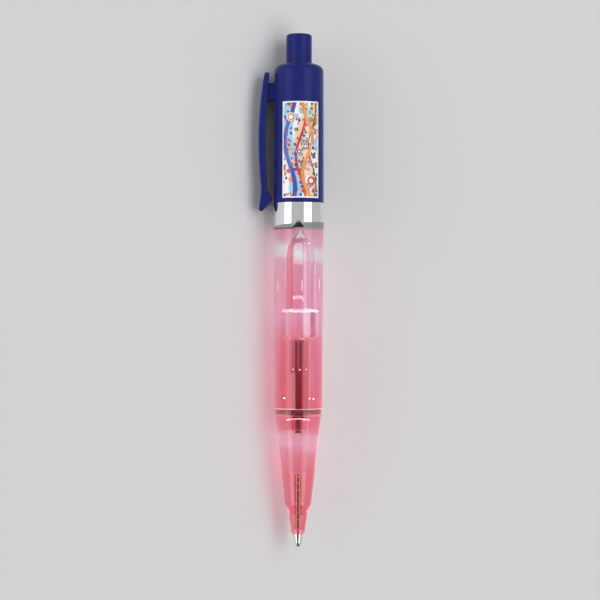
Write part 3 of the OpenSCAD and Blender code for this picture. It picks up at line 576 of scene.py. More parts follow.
# Front cone
cone = {
    "front": 3.7, "frontR": 1.7, "step": 9.6, "stepR": 2.65, "low": 11.5, "lowR": 3.5, "nose": 6.0,
    "collar": 36.2, "collarR": 6.3, "top": 37.9, "grooveOut": 5.4, "grooveIn": 3.95, "groove": 36.05,
    "grooveHighlightLine": 0.16, "socketR": 2.2, "spigot": 34.9, "recess": 32.3, "recessFrom": 20, "refillR": 1.7,
    "seat": 20.4, "shankR": 0.65, "shankZ": 5.05, "pointR": 1.2, "lineR": 0.92, "lineZ": 12.1,
    "lineHalf": 0.05, "fine": 0.1,
}


def frontConeMesh(c):
    lineLow, lineTop = c["lineZ"] - c["lineHalf"], c["lineZ"] + c["lineHalf"]
    return lathe("front_cone_body", c, [
        ("pointR", "front", 0.08), ("frontR", "front", 0.3), ("stepR", "step", "nose"),
        ("lowR", "low", "nose"), ("collarR", "collar", 0.6), ("collarR", "top", 0.15),
        ("grooveOut", "top", "fine"), ("grooveOut", "groove", 0.15), ("grooveIn", "groove", 0.15),
        ("grooveIn", "top", "fine"), ("socketR", "top", "fine"), ("socketR", "spigot", 0),
        ("socketR", "recess", 0.12), ("refillR", "recess", 0.12), ("refillR", "seat", 0.12),
        ("shankR", "seat", 0.08), ("shankR", lineTop, 0), ("lineR", lineTop, 0), ("lineR", lineLow, 0),
        ("shankR", lineLow, 0), ("shankR", "shankZ", 0), ("pointR", "shankZ", "fine"),
    ], closed=True, steps=192)


def coneSkin(r, z, a):
    c, fine = cone, cone["fine"]
    # painted highlight lines at the seat and at the fine groove
    if abs(z - c["seat"]) < fine / 2 and r < c["refillR"] or abs(z - c["lineZ"]) < fine and r < c["lineR"]:
        return faintHighlightLine
    if r < c["socketR"] + slack and z > c["recess"] - fine:
        if z > c["spigot"]:
            return wetBore
        # painted rose reflection on the recess's sides
        onWall = r > c["socketR"] - fine and z > c["recess"] and abs(a) > c["recessFrom"]
        return recessPaintedReflection if onWall else frostRose
    if r < c["refillR"] + slack and (z > c["seat"] - fine or r < c["pointR"] + slack):
        return wetBore
    # a painted highlight line at the groove's floor, painted shade above it
    if c["grooveIn"] - fine / 2 < r < c["grooveOut"] + fine / 2 and z > c["groove"] - c["grooveHighlightLine"]:
        return grooveHighlightLine if z < c["groove"] + c["grooveHighlightLine"] else grooveShade


coneMesh = paint(frontConeMesh(cone), clearSkin, coneSkin)
piece("front_cone_body", coneMesh, "barrel", "clear_plastic", "front_cone")

# Refill sleeve
wet = 0.006  # pieces that fit without an air gap reach this far into each other
sleeve = {
    "spigot": cone["spigot"], "spigotR": cone["socketR"] + wet, "low": 37.9, "r": barrel["bore"] + wet,
    "top": 56.8, "bore": 1.7, "rim": 0.3, "slant": 0.16, "fine": 0.1, "topEdge": 0.2,
}


def refillSleeveMesh(s):
    rimTop = s["spigot"] + s["rim"]
    mesh = lathe("refill_sleeve_tube", s, [
        ("bore", "spigot", "fine"), ("spigotR", "spigot", s["rim"] / 2), ("spigotR", rimTop, 0),
        ("spigotR", "low", 0), ("r", "low", "fine"), ("r", "top", "topEdge"), ("bore", "top", 0.15),
    ], closed=True)
    for vert in mesh.vertices:  # its lower end was cut at a slant
        if vert.co.z / mm < rimTop + slack / 2:
            vert.co.z -= s["slant"] * vert.co.y
    return mesh


def sleeveSkin(r, z, a):
    s = sleeve
    # painted highlight on the slanted rim
    cut = s["spigot"] + s["rim"] + s["slant"] * r * math.cos(math.radians(a))
    if r > s["bore"] + slack / 2 and z < cut:
        return paintedHighlightRim
    # painted highlight line round the top
    if z > s["top"] - s["fine"]:
        return edgeHighlightLine
    outside = r > s["spigotR"] - slack and z < s["top"] - s["topEdge"]
    if outside or r < s["bore"] + slack and z > s["spigot"] + s["fine"]:
        return wetSleeve


sleeveMesh = paint(refillSleeveMesh(sleeve), clearSleeve, sleeveSkin)
piece("refill_sleeve_tube", sleeveMesh, "barrel", "clear_plastic", "refill_sleeve")

# Painted glints and highlight streaks, small glowing shapes in the plastic: the place of each, and its half
# size across, in depth and along the pen
paintedGlints = {
    "sleeve_painted_glints": (
        (-1.11, -2.2, 48.7, 0.12, 0.12, 0.12), (0.34, -2.2, 48.6, 0.1, 0.1, 0.1),
        (1.72, -2.2, 48.7, 0.1, 0.1, 0.1), (-2.75, -0.6, 40.9, 0.14, 0.14, 0.14),
        (2.2, -0.6, 40.8, 0.11, 0.11, 0.11), (2.95, -0.4, 40.7, 0.13, 0.13, 0.13),
    ),
    "barrel_painted_streaks": (
        (-5.5, -3.3, 71.2, 0.1, 0.1, 1.7), (5.5, -3.3, 71.8, 0.11, 0.11, 1.6),
        (0.77, -2.95, 71.4, 0.07, 0.05, 1.6), (2.2, -1.6, 82.8, 0.15, 0.1, 0.15),
        (1.2, -1.95, 35.1, 0.36, 0.05, 0.1), (0.75, -2.6, 57.0, 0.55, 0.05, 0.07),
    ),
    "barrel_painted_glints": (
        (-0.95, -2.9, 68.1, 0.36, 0.04, 0.42), (-0.15, -3.0, 68.2, 1.1, 0.04, 0.5),
        (0.75, -3.0, 68.15, 0.36, 0.04, 0.42), (1.05, -2.95, 67.4, 0.2, 0.04, 0.5),
        (-1.1, -2.9, 67.6, 0.16, 0.04, 0.3), (2.66, -2.17, 48.0, 0.02, 0.02, 6.0),
        (3.15, -1.4, 47.0, 0.025, 0.025, 5.5),
    ),
}
glintSkins = {"sleeve_painted_glints": paintedSpark, "barrel_painted_streaks": paintedHighlightStreak, "barrel_painted_glints": paintedGlintPatch}


def glintsMesh(name, found):
    shape = bmesh.new()
    for x, y, z, *halves in found:
        spot = Matrix.Translation(Vector((x, y, z)) * mm) @ Matrix.Diagonal((*halves, 1))
        bmesh.ops.create_icosphere(shape, subdivisions=3, radius=mm, matrix=spot)
    return meshFrom(name, shape, 60)


for name, found in paintedGlints.items():
    piece(name, glintsMesh(name, found), "barrel", "clear_plastic", skin=glintSkins[name])
print("clear plastic done")

# Refill
refill = {
    "tube": 32.6, "top": 56.5, "r": sleeve["bore"] + wet, "bore": 0.6, "well": 1.0, "spigotZ": 35.5,
    # the ink below a given height gets a painted glow
    "wellZ": 37.0, "wellGap": 0.05, "inkGlowTop": 37.2, "dish": 0.4, "thread": 31.5, "channel": 0.5,
    # lowest height and turns of the painted glow and painted shade on the tube
    "seat": 20.4, "level": 47.6, "milk": 37.9, "paintedGlowFrom": -62, "paintedGlowTo": -20, "paintedShadeFrom": 20, "paintedShadeTo": 75,
}
streaks = {"low": refill["level"], "top": 56.2, "r": refill["bore"], "film": 0.03, "gap": 20.0, "far": 115.0,
           "vee": 1.3, "start": 0.05, "rows": 40, "columns": 24}


def refillTubeMesh(f):
    return lathe("refill_tube_wall", f, [
        ("well", "tube", 0.05), ("r", "tube", 0.1), ("r", "milk", 0), ("r", "level", 0), ("r", "top", 0.12),
        ("bore", "top", 0.08), ("bore", "wellZ", 0), ("well", "wellZ", 0),
    ], closed=True, steps=96)


def inkColumnMesh(f):
    thread, well, bore = (f[part] + wet for part in ("channel", "well", "bore"))
    bottom = f["level"] - f["dish"]
    dish = curve((f["bore"] - 0.05, f["level"] - 0.12), (f["bore"] / 2, bottom), (0, bottom), 8)
    return lathe("ink_column_fill", f, [
        (0, "thread", 0), (thread, "thread", 0.1), (thread, "spigotZ", 0), (well, "spigotZ", 0),
        (well, "wellZ", 0.1), (bore, "wellZ", 0.15), (bore, "level", 0.02),
    ] + unfilleted(dish), steps=72)


def refillSocketMesh(f):
    spigot = f["well"] - f["wellGap"]
    return lathe("refill_socket_body", f, [
        (0, "seat", 0), ("r", "seat", 0.12), ("r", "tube", 0.08), (spigot, "tube", 0),
        (spigot, "spigotZ", 0.1), ("channel", "spigotZ", 0), ("channel", "thread", 0), (0, "thread", 0),
    ], steps=96)


def inkStreaksMesh(s):  # ink left on both sides of the bore, parted by a clear stripe that closes to a vee
    shape = bmesh.new()
    for side in (-1, 1):
        rings = []
        for j in range(s["rows"] + 1):
            z = s["low"] - slack + (s["top"] - s["low"]) * j / s["rows"]
            part = s["gap"] * min(1, s["start"] + max(0, z - s["low"]) / s["vee"])
            shares = [k / s["columns"] for k in range(s["columns"] + 1)]
            turns = [math.radians(side * (part + (s["far"] - part) * t) - 90) for t in shares]
            film = [(s["r"] + wet, a) for a in turns] + [(s["r"] - s["film"], a) for a in reversed(turns)]
            rings.append([vertAt(shape, r, a, z) for r, a in film])
        skinRings(shape, rings, capped=True)
    return meshFrom("ink_streaks", shape, 40)


def tubeSkin(r, z, a):
    f = refill
    if r < f["r"] - slack or z < f["milk"]:
        return None
    # painted glow on one side of the tube, painted shade on another
    if f["paintedGlowFrom"] < a < f["paintedGlowTo"] and z < f["level"]:
        return tubePaintedGlow
    return tubePaintedShade if f["paintedShadeFrom"] < a < f["paintedShadeTo"] else None


tubeMesh = paint(refillTubeMesh(refill), tubePlastic, tubeSkin)
# the ink low in the well is darker, with a painted glow
inkMesh = paint(inkColumnMesh(refill), ink, lambda r, z, a: inkPaintedGlow if z < refill["inkGlowTop"] else None)
piece("refill_tube_wall", tubeMesh, "barrel", "tube_plastic", "refill_tube")
piece("ink_column_fill", inkMesh, "barrel", "ink", "ink_column")
piece("ink_streaks", inkStreaksMesh(streaks), "barrel", "ink", skin=inkFilm)
piece("refill_socket_body", refillSocketMesh(refill), "barrel", "tube_plastic", "refill_socket",
      skin=clearSocket)

# Writing point
point = {
    "lip": 0.32, "lipR": 0.64, "mouthR": 0.5096, "tipZ": 1.22, "tipR": 0.85, "land": 3.3,
    "r": cone["pointR"] + wet, "body": 4.7, "neck": 5.0, "shankR": cone["shankR"] + wet, "shankTop": 20.38,
    # the last entries set painted dark reflection stripes and painted highlight stripes
    "bore": 0.33, "boreZ": 1.0, "seatR": 0.52, "seatZ": 0.62, "dash": 0.15, "paintedBodyTop": 5.05, "slot": 8,
    "dashes": 14, "highlightFrom": 12, "highlightTo": 42,
}


def writingPointMesh(p):
    count = int((p["shankTop"] - p["body"]) / p["dash"])
    rows = [(p["shankR"], p["shankTop"] - p["dash"] * k) for k in range(count - 1, 0, -1)]
    return lathe("writing_point_body", p, [
        ("mouthR", "lip", 0.02), ("lipR", "lip", 0.05), ("tipR", "tipZ", 0.3), ("r", "land", 0.3),
        ("r", cone["front"], 0), ("r", "body", 0.08), ("shankR", "neck", 0.08),
    ] + unfilleted(rows) + [
        ("shankR", "shankTop", 0.1), ("bore", "shankTop", 0.05), ("bore", "boreZ", 0),
        ("seatR", "seatZ", 0.05),
    ], closed=True, steps=96)


def pointSkin(r, z, a):  # bare in front of the cone; inside it, the body is painted lighter and the point gets painted dark reflection stripes and painted highlight stripes
    p = point
    if z < cone["front"]:
        return None
    if z < p["paintedBodyTop"]:
        return paintedDarkStripe if abs(a) < p["slot"] else ballMetalAndPaintedLight
    darkDash = math.sin(7 * z) + math.sin(3.1 * z) > -1.1  # painted dark reflection in dashes of uneven length
    if abs(a) < p["dashes"] and darkDash:
        return paintedDarkStripe
    return shankPaintedHighlight if p["highlightFrom"] < abs(a) < p["highlightTo"] else shankMetal


pointMesh = paint(writingPointMesh(point), pointMetal, pointSkin)
piece("writing_point_body", pointMesh, "barrel", "point_metal", "writing_point")
print("refill done")

# Plated ring
ring = {
    "low": 87.9, "top": 93.9, "r": 6.93, "inner": 5.45, "edge": 0.16, "fine": 0.1, "lip": 86.6, "lipR": 6.8,
    "lipIn": 6.3, "bulge": 0.9, "bend": 90.0, "greyReflectionTop": 88.2, "drop": 0.0215, "rise": 0.2, "lean": 0.02,
    "notch": -0.25, "notchLean": 0.8, "notchRight": 1.35, "rose": 87.05, "back": 120, "shadeTo": -8,
}


def ringMesh(g):
    turned = curve((g["lipR"], g["lip"]), (g["r"], g["lip"] + g["bulge"]), (g["r"], g["bend"]), 40)
    mesh = lathe("plated_ring_band", g, [
        ("inner", "low", "fine"), ("lipIn", "low", 0), ("lipIn", "lip", 0.05),
    ] + unfilleted(turned) + [
        ("r", "top", "edge"), ("inner", "top", "fine"),
    ], closed=True, steps=192)
    for vert in mesh.vertices:  # the turned edge was rolled a little askew
        x, z = vert.co.x, vert.co.z / mm
        if g["lip"] + slack / 2 < z < g["bend"] + slack / 2 and vert.co.xy.length / mm > g["lipR"]:
            share = (z - g["lip"]) / (g["bend"] - g["lip"])
            vert.co.z += g["lean"] * x * math.sin(math.pi * share)
    return mesh


def greyReflectionTopAt(g, x):  # height of the painted grey reflection on the turned edge, which runs low at one side
    rise = g["rise"] if x > g["notchRight"] else 0
    return g["greyReflectionTop"] + g["lean"] * x - g["drop"] * max(0, -x - 1) ** 2 + rise


def ringSkin(r, z, a):
    g, x = ring, aside(r, a)
    outside = r > g["lipIn"] + g["fine"]
    # painted shade and a painted grey reflection on the ring's lip
    if outside and z < g["rose"]:
        return lipShade if -g["back"] < a < g["shadeTo"] else lipPaintedRoseShade
    notch = g["notch"] + g["notchLean"] * (g["bend"] - z)  # half width of the bright notch in the painted grey reflection
    inGreyReflection = outside and z < greyReflectionTopAt(g, x) and not -notch < x < min(notch, g["notchRight"])
    if inGreyReflection or abs(a) > g["back"] and z < g["greyReflectionTop"]:
        return lipPaintedGreyReflection


bandMesh = paint(ringMesh(ring), plating, ringSkin)
piece("plated_ring_band", bandMesh, "barrel", "plating", "plated_ring")

# Blue barrel
upper = {
    "low": 93.9, "lowR": 6.83, "topR": 6.7, "shoulder": 2.0, "shoulderZ": 129.5, "top": 132.0, "hole": 3.6,
    "plate": 130.2, "room": 5.0, "neckTop": 98.0, "neckRoom": 5.45, "pocketR": 5.4, "pocketDeep": 3.0,
    "pocketW": 3.2, "pocketLow": 121.48, "pocketTop": 126.82,
}


def upperBarrelMesh(u):
    shoulder = arc(u["topR"] - u["shoulder"], u["shoulderZ"], u["shoulder"], 0, 70, 14)
    return lathe("upper_barrel_shell", u, [
        ("neckRoom", "low", 0.05), ("lowR", "low", 0.15),
    ] + unfilleted(shoulder) + [
        ("hole", "top", 0.12), ("hole", "plate", 0.1), ("room", "plate", 0), ("room", "neckTop", 0),
        ("neckRoom", "neckTop", 0),
    ], closed=True, steps=192)


def cutPocket(made, u):  # the opening that takes the clip's root
    cutter = bpy.data.objects.new("pocketCutter", bpy.data.meshes.new("pocketCutter"))
    shape = bmesh.new()
    size = Vector((u["pocketDeep"], u["pocketW"], u["pocketTop"] - u["pocketLow"]))
    middle = Vector((-u["pocketR"] - u["pocketDeep"] / 2, 0, (u["pocketTop"] + u["pocketLow"]) / 2))
    spot = Matrix.Translation(middle * mm) @ Matrix.Diagonal((*size, 1))
    bmesh.ops.create_cube(shape, size=mm)
    bmesh.ops.transform(shape, matrix=spot, verts=shape.verts)
    shape.to_mesh(cutter.data)
    shape.free()
    cutter.data.transform(penPlace)
    scene.collection.objects.link(cutter)
    cut = made.modifiers.new("pocket", "BOOLEAN")
    cut.object = cutter
    cut.operation, cut.solver = "DIFFERENCE", "EXACT"
    bpy.context.view_layer.update()
    result = bpy.data.meshes.new_from_object(made.evaluated_get(bpy.context.evaluated_depsgraph_get()))
    made.modifiers.clear()
    made.data = result
    bpy.data.objects.remove(cutter)
    result.set_sharp_from_angle(angle=math.radians(sharpTurn))


upperShell = piece("upper_barrel_shell", upperBarrelMesh(upper), "barrel", "blue_plastic", "upper_barrel",
                   skin=bluePlastic)
cutPocket(upperShell, upper)

# Push button
button = {
    "r": 3.5, "top": 140.0, "dome": 0.15, "corner": 0.7, "crown": 126.3, "bore": 2.4, "boreTop": 138.0,
    "tooth": 0.9, "toothW": 0.8, "toothRoot": 0.2, "teeth": 8, "splines": 4, "splineIn": 3.4,
    "splineOut": 4.3, "splineLow": 127.5, "splineTop": 130.1, "splineFrom": -0.32, "splineTo": 1.28,
}


def addSpline(shape, b, at):  # one guide rib on the button's side, at an angle about the axis
    sides = [b["splineFrom"] + (b["splineTo"] - b["splineFrom"]) * k / 8 for k in range(9)]
    section = [(math.sqrt(b["splineOut"] ** 2 - t * t), t) for t in sides]
    section += [(math.sqrt(b["splineIn"] ** 2 - t * t), t) for t in reversed(sides)]
    turn = Matrix.Rotation(at, 3, "Z")
    rings = [[shape.verts.new(turn @ Vector((r, t, z)) * mm) for r, t in section]
             for z in (b["splineLow"], b["splineTop"])]
    skinRings(shape, rings, capped=True)


def buttonMesh(b):
    corner = arc(b["r"] - b["corner"], b["top"] - b["dome"] - b["corner"], b["corner"], 0, 86, 12)
    mesh = lathe("push_button_cap", b, [
        (0, "boreTop", 0), ("bore", "boreTop", 0), ("bore", "crown", 0), ("r", "crown", 0.1),
    ] + unfilleted(corner) + [(0, "top", 0)])
    pitch = math.tau / b["teeth"]
    for vert in mesh.vertices:  # crown teeth round the lower edge
        if vert.co.z / mm < b["crown"] + b["toothRoot"]:
            off = abs((math.atan2(vert.co.y, vert.co.x) / pitch + 0.5) % 1 - 0.5) * 2
            vert.co.z += b["tooth"] * max(0, 1 - off / b["toothW"]) * mm
    shape = bmesh.new()
    shape.from_mesh(mesh)
    bpy.data.meshes.remove(mesh)
    for n in range(b["splines"]):
        addSpline(shape, b, math.tau * n / b["splines"] - pitch / 2)
    return meshFrom("push_button_cap", shape)


piece("push_button_cap", buttonMesh(button), "button", "blue_plastic", "push_button", skin=bluePlastic)

# Clip
clip = {
    "top": 129.6, "foot": 91.6, "half": 2.4, "outR": 10.91, "inR": 9.08, "bowOut": 113.0, "bowIn": 165.0,
    "bowZ": 110.6, "ankle": 98.1, "footR": 7.31, "heel": 2.6, "thumb": 0.695, "corner": 0.42, "rows": 120,
    "inset": 0.012, "thin": 0.02, "bridgeLow": 121.8, "bridgeTop": 126.5, "bridgeHalf": 1.5,
    "bridgeCorner": 0.3, "root": 5.72, "bury": 0.6, "flareR": 8.0, "flareTall": 0.35, "flareWide": 0.25,
    "flarePower": 2.2,
}


def bowed(r, bow, middle, z):
    return r - bow + math.sqrt(bow * bow - (z - middle) ** 2)


def follow(points, z):  # reads a line of (r, z) points at a height
    points = sorted(points, key=lambda p: p[1])
    for (r0, z0), (r1, z1) in zip(points, points[1:]):
        if z0 <= z <= z1:
            return r0 + (r1 - r0) * (z - z0) / max(z1 - z0, 1e-9)
    return points[0][0] if z < points[0][1] else points[-1][0]


def clipSides(c):  # inner and outer line of the clip, seen from the side
    thumbZ = c["top"] - c["thumb"]
    steps = [c["ankle"] + (thumbZ - c["ankle"]) * k / 60 for k in range(61)]
    inner = [(bowed(c["inR"], c["bowIn"], c["bowZ"], z), z) for z in steps]
    outer = [(bowed(c["outR"], c["bowOut"], c["bowZ"], z), z) for z in steps]
    middle = (inner[-1][0] + outer[-1][0]) / 2
    turn = [math.radians(90 * k / 10) for k in range(1, 11)]
    inner += [(middle - c["thumb"] * math.cos(a), thumbZ + c["thumb"] * math.sin(a)) for a in turn]
    outer += [(middle + c["thumb"] * math.cos(a), thumbZ + c["thumb"] * math.sin(a)) for a in turn]

    # Foot: instep, sole and heel on the inside, toe and front on the outside
    (inR, ankle), out = inner[0], outer[0]
    r, heel = c["footR"], c["foot"] + c["heel"]
    toeR, toe = c["outR"] - 0.6, c["foot"]
    inner += curve((inR, ankle), (inR, ankle - 1), ((inR + r) / 2, ankle - 1.4), 8)
    inner += curve((r + 0.3, ankle - 1.9), (r, heel + 1.2), (r, heel + 0.8), 8)
    inner += curve((r, heel + 0.5), (r, heel - 0.1), (r + 0.5, heel - 0.4), 8)
    inner += [(toeR - 0.4, toe + 0.1), (toeR, toe)]
    outer += curve((toeR, toe), (toeR + 0.6, toe), (toeR + 0.5, toe + 1), 8)
    outer += curve((toeR + 0.2, toe + 3), (toeR - 0.1, toe + 4.6), out, 8)
    return inner, outer


def roundedBox(low, high, half, corner, steps=5):  # (r, t) points of a cross-section with rounded corners
    corner = max(1e-4, min(corner, (high - low) / 2.02, half / 1.01))  # always fits the box
    points = []
    for cr, ct, start in ((high - corner, half - corner, 0), (low + corner, half - corner, 90),
                          (low + corner, corner - half, 180), (high - corner, corner - half, 270)):
        points += arc(cr, ct, corner, start, start + 90, steps)
    return points


def addArm(shape, c):
    inner, outer = clipSides(c)
    rings = []
    for k in range(c["rows"] + 1):
        swing = math.cos(math.pi * k / c["rows"])
        share = 0.5 - 0.5 * swing * (0.35 + 0.65 * abs(swing))  # rows crowd towards the ends
        z = c["foot"] + c["inset"] + (c["top"] - c["foot"] - 2 * c["inset"]) * share
        ends = max(c["foot"] + c["half"] - z, z - c["top"] + c["half"], 0)
        half = math.sqrt(max(c["half"] ** 2 - ends ** 2, 1e-4))
        low, high = follow(inner, z), follow(outer, z)
        if high - low < c["thin"]:
            low, high = ((low + high + way * c["thin"]) / 2 for way in (-1, 1))
        section = roundedBox(low, high, half, c["corner"])
        rings.append([shape.verts.new((-r * mm, t * mm, z * mm)) for r, t in section])
    skinRings(shape, rings, capped=True)


def addBridge(shape, c):  # from the root in the barrel out to the arm, where it flares
    rings = []
    middle = (c["bridgeLow"] + c["bridgeTop"]) / 2
    reach = bowed(c["inR"], c["bowIn"], c["bowZ"], middle) + c["bury"]
    for k in range(13):
        r = c["root"] + (reach - c["root"]) * k / 12
        flare = max(0, (r - c["flareR"]) / (reach - c["flareR"])) ** c["flarePower"]
        tall = (c["bridgeTop"] - c["bridgeLow"]) / 2 + c["flareTall"] * flare
        wide = c["bridgeHalf"] + c["flareWide"] * flare
        section = roundedBox(middle - tall, middle + tall, wide, c["bridgeCorner"], 4)
        rings.append([shape.verts.new((-r * mm, t * mm, z * mm)) for z, t in section])
    skinRings(shape, rings, capped=True)


def clipMesh(c):
    shape = bmesh.new()
    addArm(shape, c)
    addBridge(shape, c)
    return meshFrom("clip_arm", shape, 40)


piece("clip_arm", clipMesh(clip), "clip", "blue_plastic", "clip", skin=bluePlastic)
print("blue plastic done")

# Label
label = {
    "low": 95.0, "length": 26.0, "lowR": 6.851, "highR": 6.756, "thick": 0.1, "arc": 89.0, "centre": 275.0,
    "margin": 0.35, "columns": 64, "rows": 80,
}


def rimOf(grid):  # the points round the edge of a grid, in order
    return grid[0] + [row[-1] for row in grid[1:]] + grid[-1][-2::-1] + [row[0] for row in grid[-2:0:-1]]


def labelMesh(l):
    shape = bmesh.new()
    mapped = shape.loops.layers.uv.new("sheet")
    spots = {}

    def sheet(lift):  # one face of the film, as rows of points
        grid = []
        for j in range(l["rows"] + 1):
            v = j / l["rows"]
            r = l["lowR"] + (l["highR"] - l["lowR"]) * v + lift
            row = []
            for i in range(l["columns"] + 1):
                u = i / l["columns"]
                a = math.radians(l["centre"] + l["arc"] * (u - 0.5))
                row.append(vertAt(shape, r, a, l["low"] + l["length"] * v))
                spots[row[-1]] = (u, v)
            grid.append(row)
        return grid

    grids = [sheet(l["thick"]), sheet(0.0)]
    for grid in grids:
        for low, high in zip(grid, grid[1:]):
            for i in range(l["columns"]):
                shape.faces.new((low[i], low[i + 1], high[i + 1], high[i]))
    skinRings(shape, [rimOf(grid) for grid in grids])
    for face in shape.faces:
        for corner in face.loops:
            corner[mapped].uv = spots[corner.vert]
    return meshFrom("label_film", shape, 40)


def printedFilm(l):
    wide = math.radians(l["arc"]) * (l["lowR"] + l["thick"])
    made, tree, shader = newMaterial("printedFilm", Coat_Weight=0.35, Coat_Roughness=0.12,
                                     Specular_IOR_Level=0.4)
    at = add(tree, "SeparateXYZ", {0: add(tree, "UVMap", uv_map="sheet").outputs[0]})
    u = calc(tree, "MULTIPLY", at.outputs[0], wide)  # across the label in mm
    v = calc(tree, "MULTIPLY", at.outputs[1], l["length"])  # along the label in mm
    soft = 0.05  # half width of a printed edge

    def wave(centre, swing, rate, phase, half, blur=0.06):  # a ribbon that winds along the label
        angle = calc(tree, "MULTIPLY_ADD", v, rate, phase)
        middle = calc(tree, "MULTIPLY_ADD", calc(tree, "SINE", angle), swing, centre)
        off = calc(tree, "ABSOLUTE", calc(tree, "SUBTRACT", u, middle))
        return spread(tree, off, half + blur, half - blur)

    def disc(cu, cv, r, hole=0.0):
        du, dv = calc(tree, "SUBTRACT", u, cu), calc(tree, "SUBTRACT", v, cv)
        far = calc(tree, "SQRT", calc(tree, "MULTIPLY_ADD", du, du, calc(tree, "MULTIPLY", dv, dv)))
        mask = spread(tree, far, r + soft, r - soft)
        return calc(tree, "MULTIPLY", mask, spread(tree, far, hole - soft, hole + soft)) if hole else mask

    def chips(tones, rateU, rateV, share, size):  # scattered flakes, each in one of the tones
        scaled = [calc(tree, "MULTIPLY", value, rate) for value, rate in ((u, rateU), (v, rateV))]
        spot = add(tree, "CombineXYZ", dict(enumerate(scaled)))
        cell = add(tree, "TexVoronoi", {"Vector": spot.outputs[0], "Scale": 1.0}, voronoi_dimensions="2D")
        pick = add(tree, "SeparateColor", {0: cell.outputs["Color"]})
        tone = ramp(tree, pick.outputs[0], [(k / len(tones), t) for k, t in enumerate(tones)], "CONSTANT")
        kept = spread(tree, pick.outputs[1], 1 - share, 1.001 - share)
        flake = spread(tree, cell.outputs["Distance"], size + soft, size - soft)
        return calc(tree, "MULTIPLY", kept, flake), tone

    sky, royal, orange, red = (0.33, 0.6, 0.8), (0.05, 0.08, 0.42), (0.8, 0.28, 0.06), (0.66, 0.03, 0.03)
    sand, leaf, soil, pale = (0.82, 0.62, 0.42), (0.16, 0.36, 0.14), (0.16, 0.07, 0.04), (0.92, 0.92, 0.93)
    paper = add(tree, "TexNoise", {"Scale": 900.0}).outputs["Fac"]
    colour = blendColour(tree, paper, (0.86, 0.87, 0.9), (0.93, 0.93, 0.94))
    for mask, tone in (
        (wave(7.4, 1.7, 0.22, 2.0, 2.6, 0.5), sand), (wave(2.6, 1.6, 0.24, 0.4, 2.0, 0.4), sky),
        chips((sky, pale, sand, orange, sky, pale), 0.55, 0.5, 0.6, 0.5),
        chips((orange, soil, red, leaf, royal), 1.1, 0.9, 0.4, 0.42),
        (wave(2.3, 1.5, 0.25, 0.9, 0.6), royal), (wave(5.3, 1.3, 0.29, 1.5, 0.34), red),
        chips((royal, soil, red), 1.5, 0.75, 0.34, 0.3),
        (wave(8.6, 1.2, 0.31, 0.4, 0.2), soil), (wave(7.2, 1.4, 0.33, 2.5, 0.5), orange),
        (disc(8.3, 4.6, 1.2), red), (disc(8.3, 4.6, 0.6), pale), (disc(2.6, 21.8, 1.2), pale),
        (disc(2.6, 21.8, 1.05, 0.55), orange), (disc(8.2, 21.0, 0.8), leaf), (disc(4.9, 12.4, 0.75), pale),
        (disc(4.9, 12.4, 0.65, 0.3), royal), (disc(1.9, 7.2, 0.6), red), (disc(8.9, 13.5, 0.7), pale),
        (disc(8.9, 13.5, 0.5), royal),
    ):
        colour = blendColour(tree, mask, colour, tone)
    edge = calc(tree, "MINIMUM", calc(tree, "MINIMUM", u, calc(tree, "SUBTRACT", wide, u)),
                calc(tree, "MINIMUM", v, calc(tree, "SUBTRACT", l["length"], v)))
    inside = spread(tree, edge, l["margin"] - soft, l["margin"] + soft)
    skin, marks = place(tree, skinGroup, Scale=1.6), place(tree, marksGroup, Scale=1.5)
    feed(tree, shader, Base_Color=blendColour(tree, inside, (0.9, 0.9, 0.92), colour),
         Roughness=spread(tree, marks.outputs["Smudge"], 0, 1, 0.28, 0.42),
         Normal=bump(tree, skin.outputs["Height"], 0.004))
    return made


piece("label_film", labelMesh(label), "barrel", "printed_film", "label", skin=printedFilm(label))
print("label done")

# Springs
springs = {
    "return_spring_coil": {"node": "return_spring", "low": 113.7, "top": 119.05, "lowR": 2.0, "topR": 2.0,
                           "turns": 5.5, "joint": "cam_slide", "keep": 0.717},
    "cell_spring_coil": {"node": "cell_spring", "low": 99.5, "top": 102.0, "lowR": 3.0, "topR": 1.5,
                         "turns": 3.0, "joint": "cell_slide", "keep": 0.39},
}
wire = {"r": 0.175, "sides": 10, "steps": 28, "closed": 0.6, "creep": 0.12}


def coilMesh(name, s, w):
    shape = bmesh.new()
    rings = []
    count = int(s["turns"] * w["steps"])
    low, top = s["low"] + w["r"], s["top"] - w["r"]
    around = [math.tau * k / w["sides"] for k in range(w["sides"])]
    for i in range(count + 1):
        t = i / count
        a = math.tau * s["turns"] * t
        climb = (t * s["turns"] - w["closed"]) / (s["turns"] - 2 * w["closed"])
        climb = min(max(climb, 0), 1)  # end turns close up
        z = low + (top - low) * (w["creep"] * t + (1 - w["creep"]) * climb)
        r = s["lowR"] + (s["topR"] - s["lowR"]) * t
        rings.append([vertAt(shape, r + w["r"] * math.cos(b), a, z + w["r"] * math.sin(b)) for b in around])
    skinRings(shape, rings, capped=True)
    return meshFrom(name, shape, 60)


for name, s in springs.items():
    coil = piece(name, coilMesh(name, s, wire), "barrel", "spring_steel", s["node"], skin=springSteel)
    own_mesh(coil)
print("springs done")


# CAD pieces that stay
def lampResin():
    made, tree, shader = newMaterial("lampResin", Roughness=0.12, Emission_Strength=0.02, IOR=1.5)
    mottle = place(tree, skinGroup).outputs["Mottle"]
    feed(tree, shader, Base_Color=blendColour(tree, mottle, (0.02, 0.004, 0.005), (0.03, 0.006, 0.008)),
         Emission_Color=place(tree, tints["paintedLampGlow"]).outputs["Colour"])
    return made


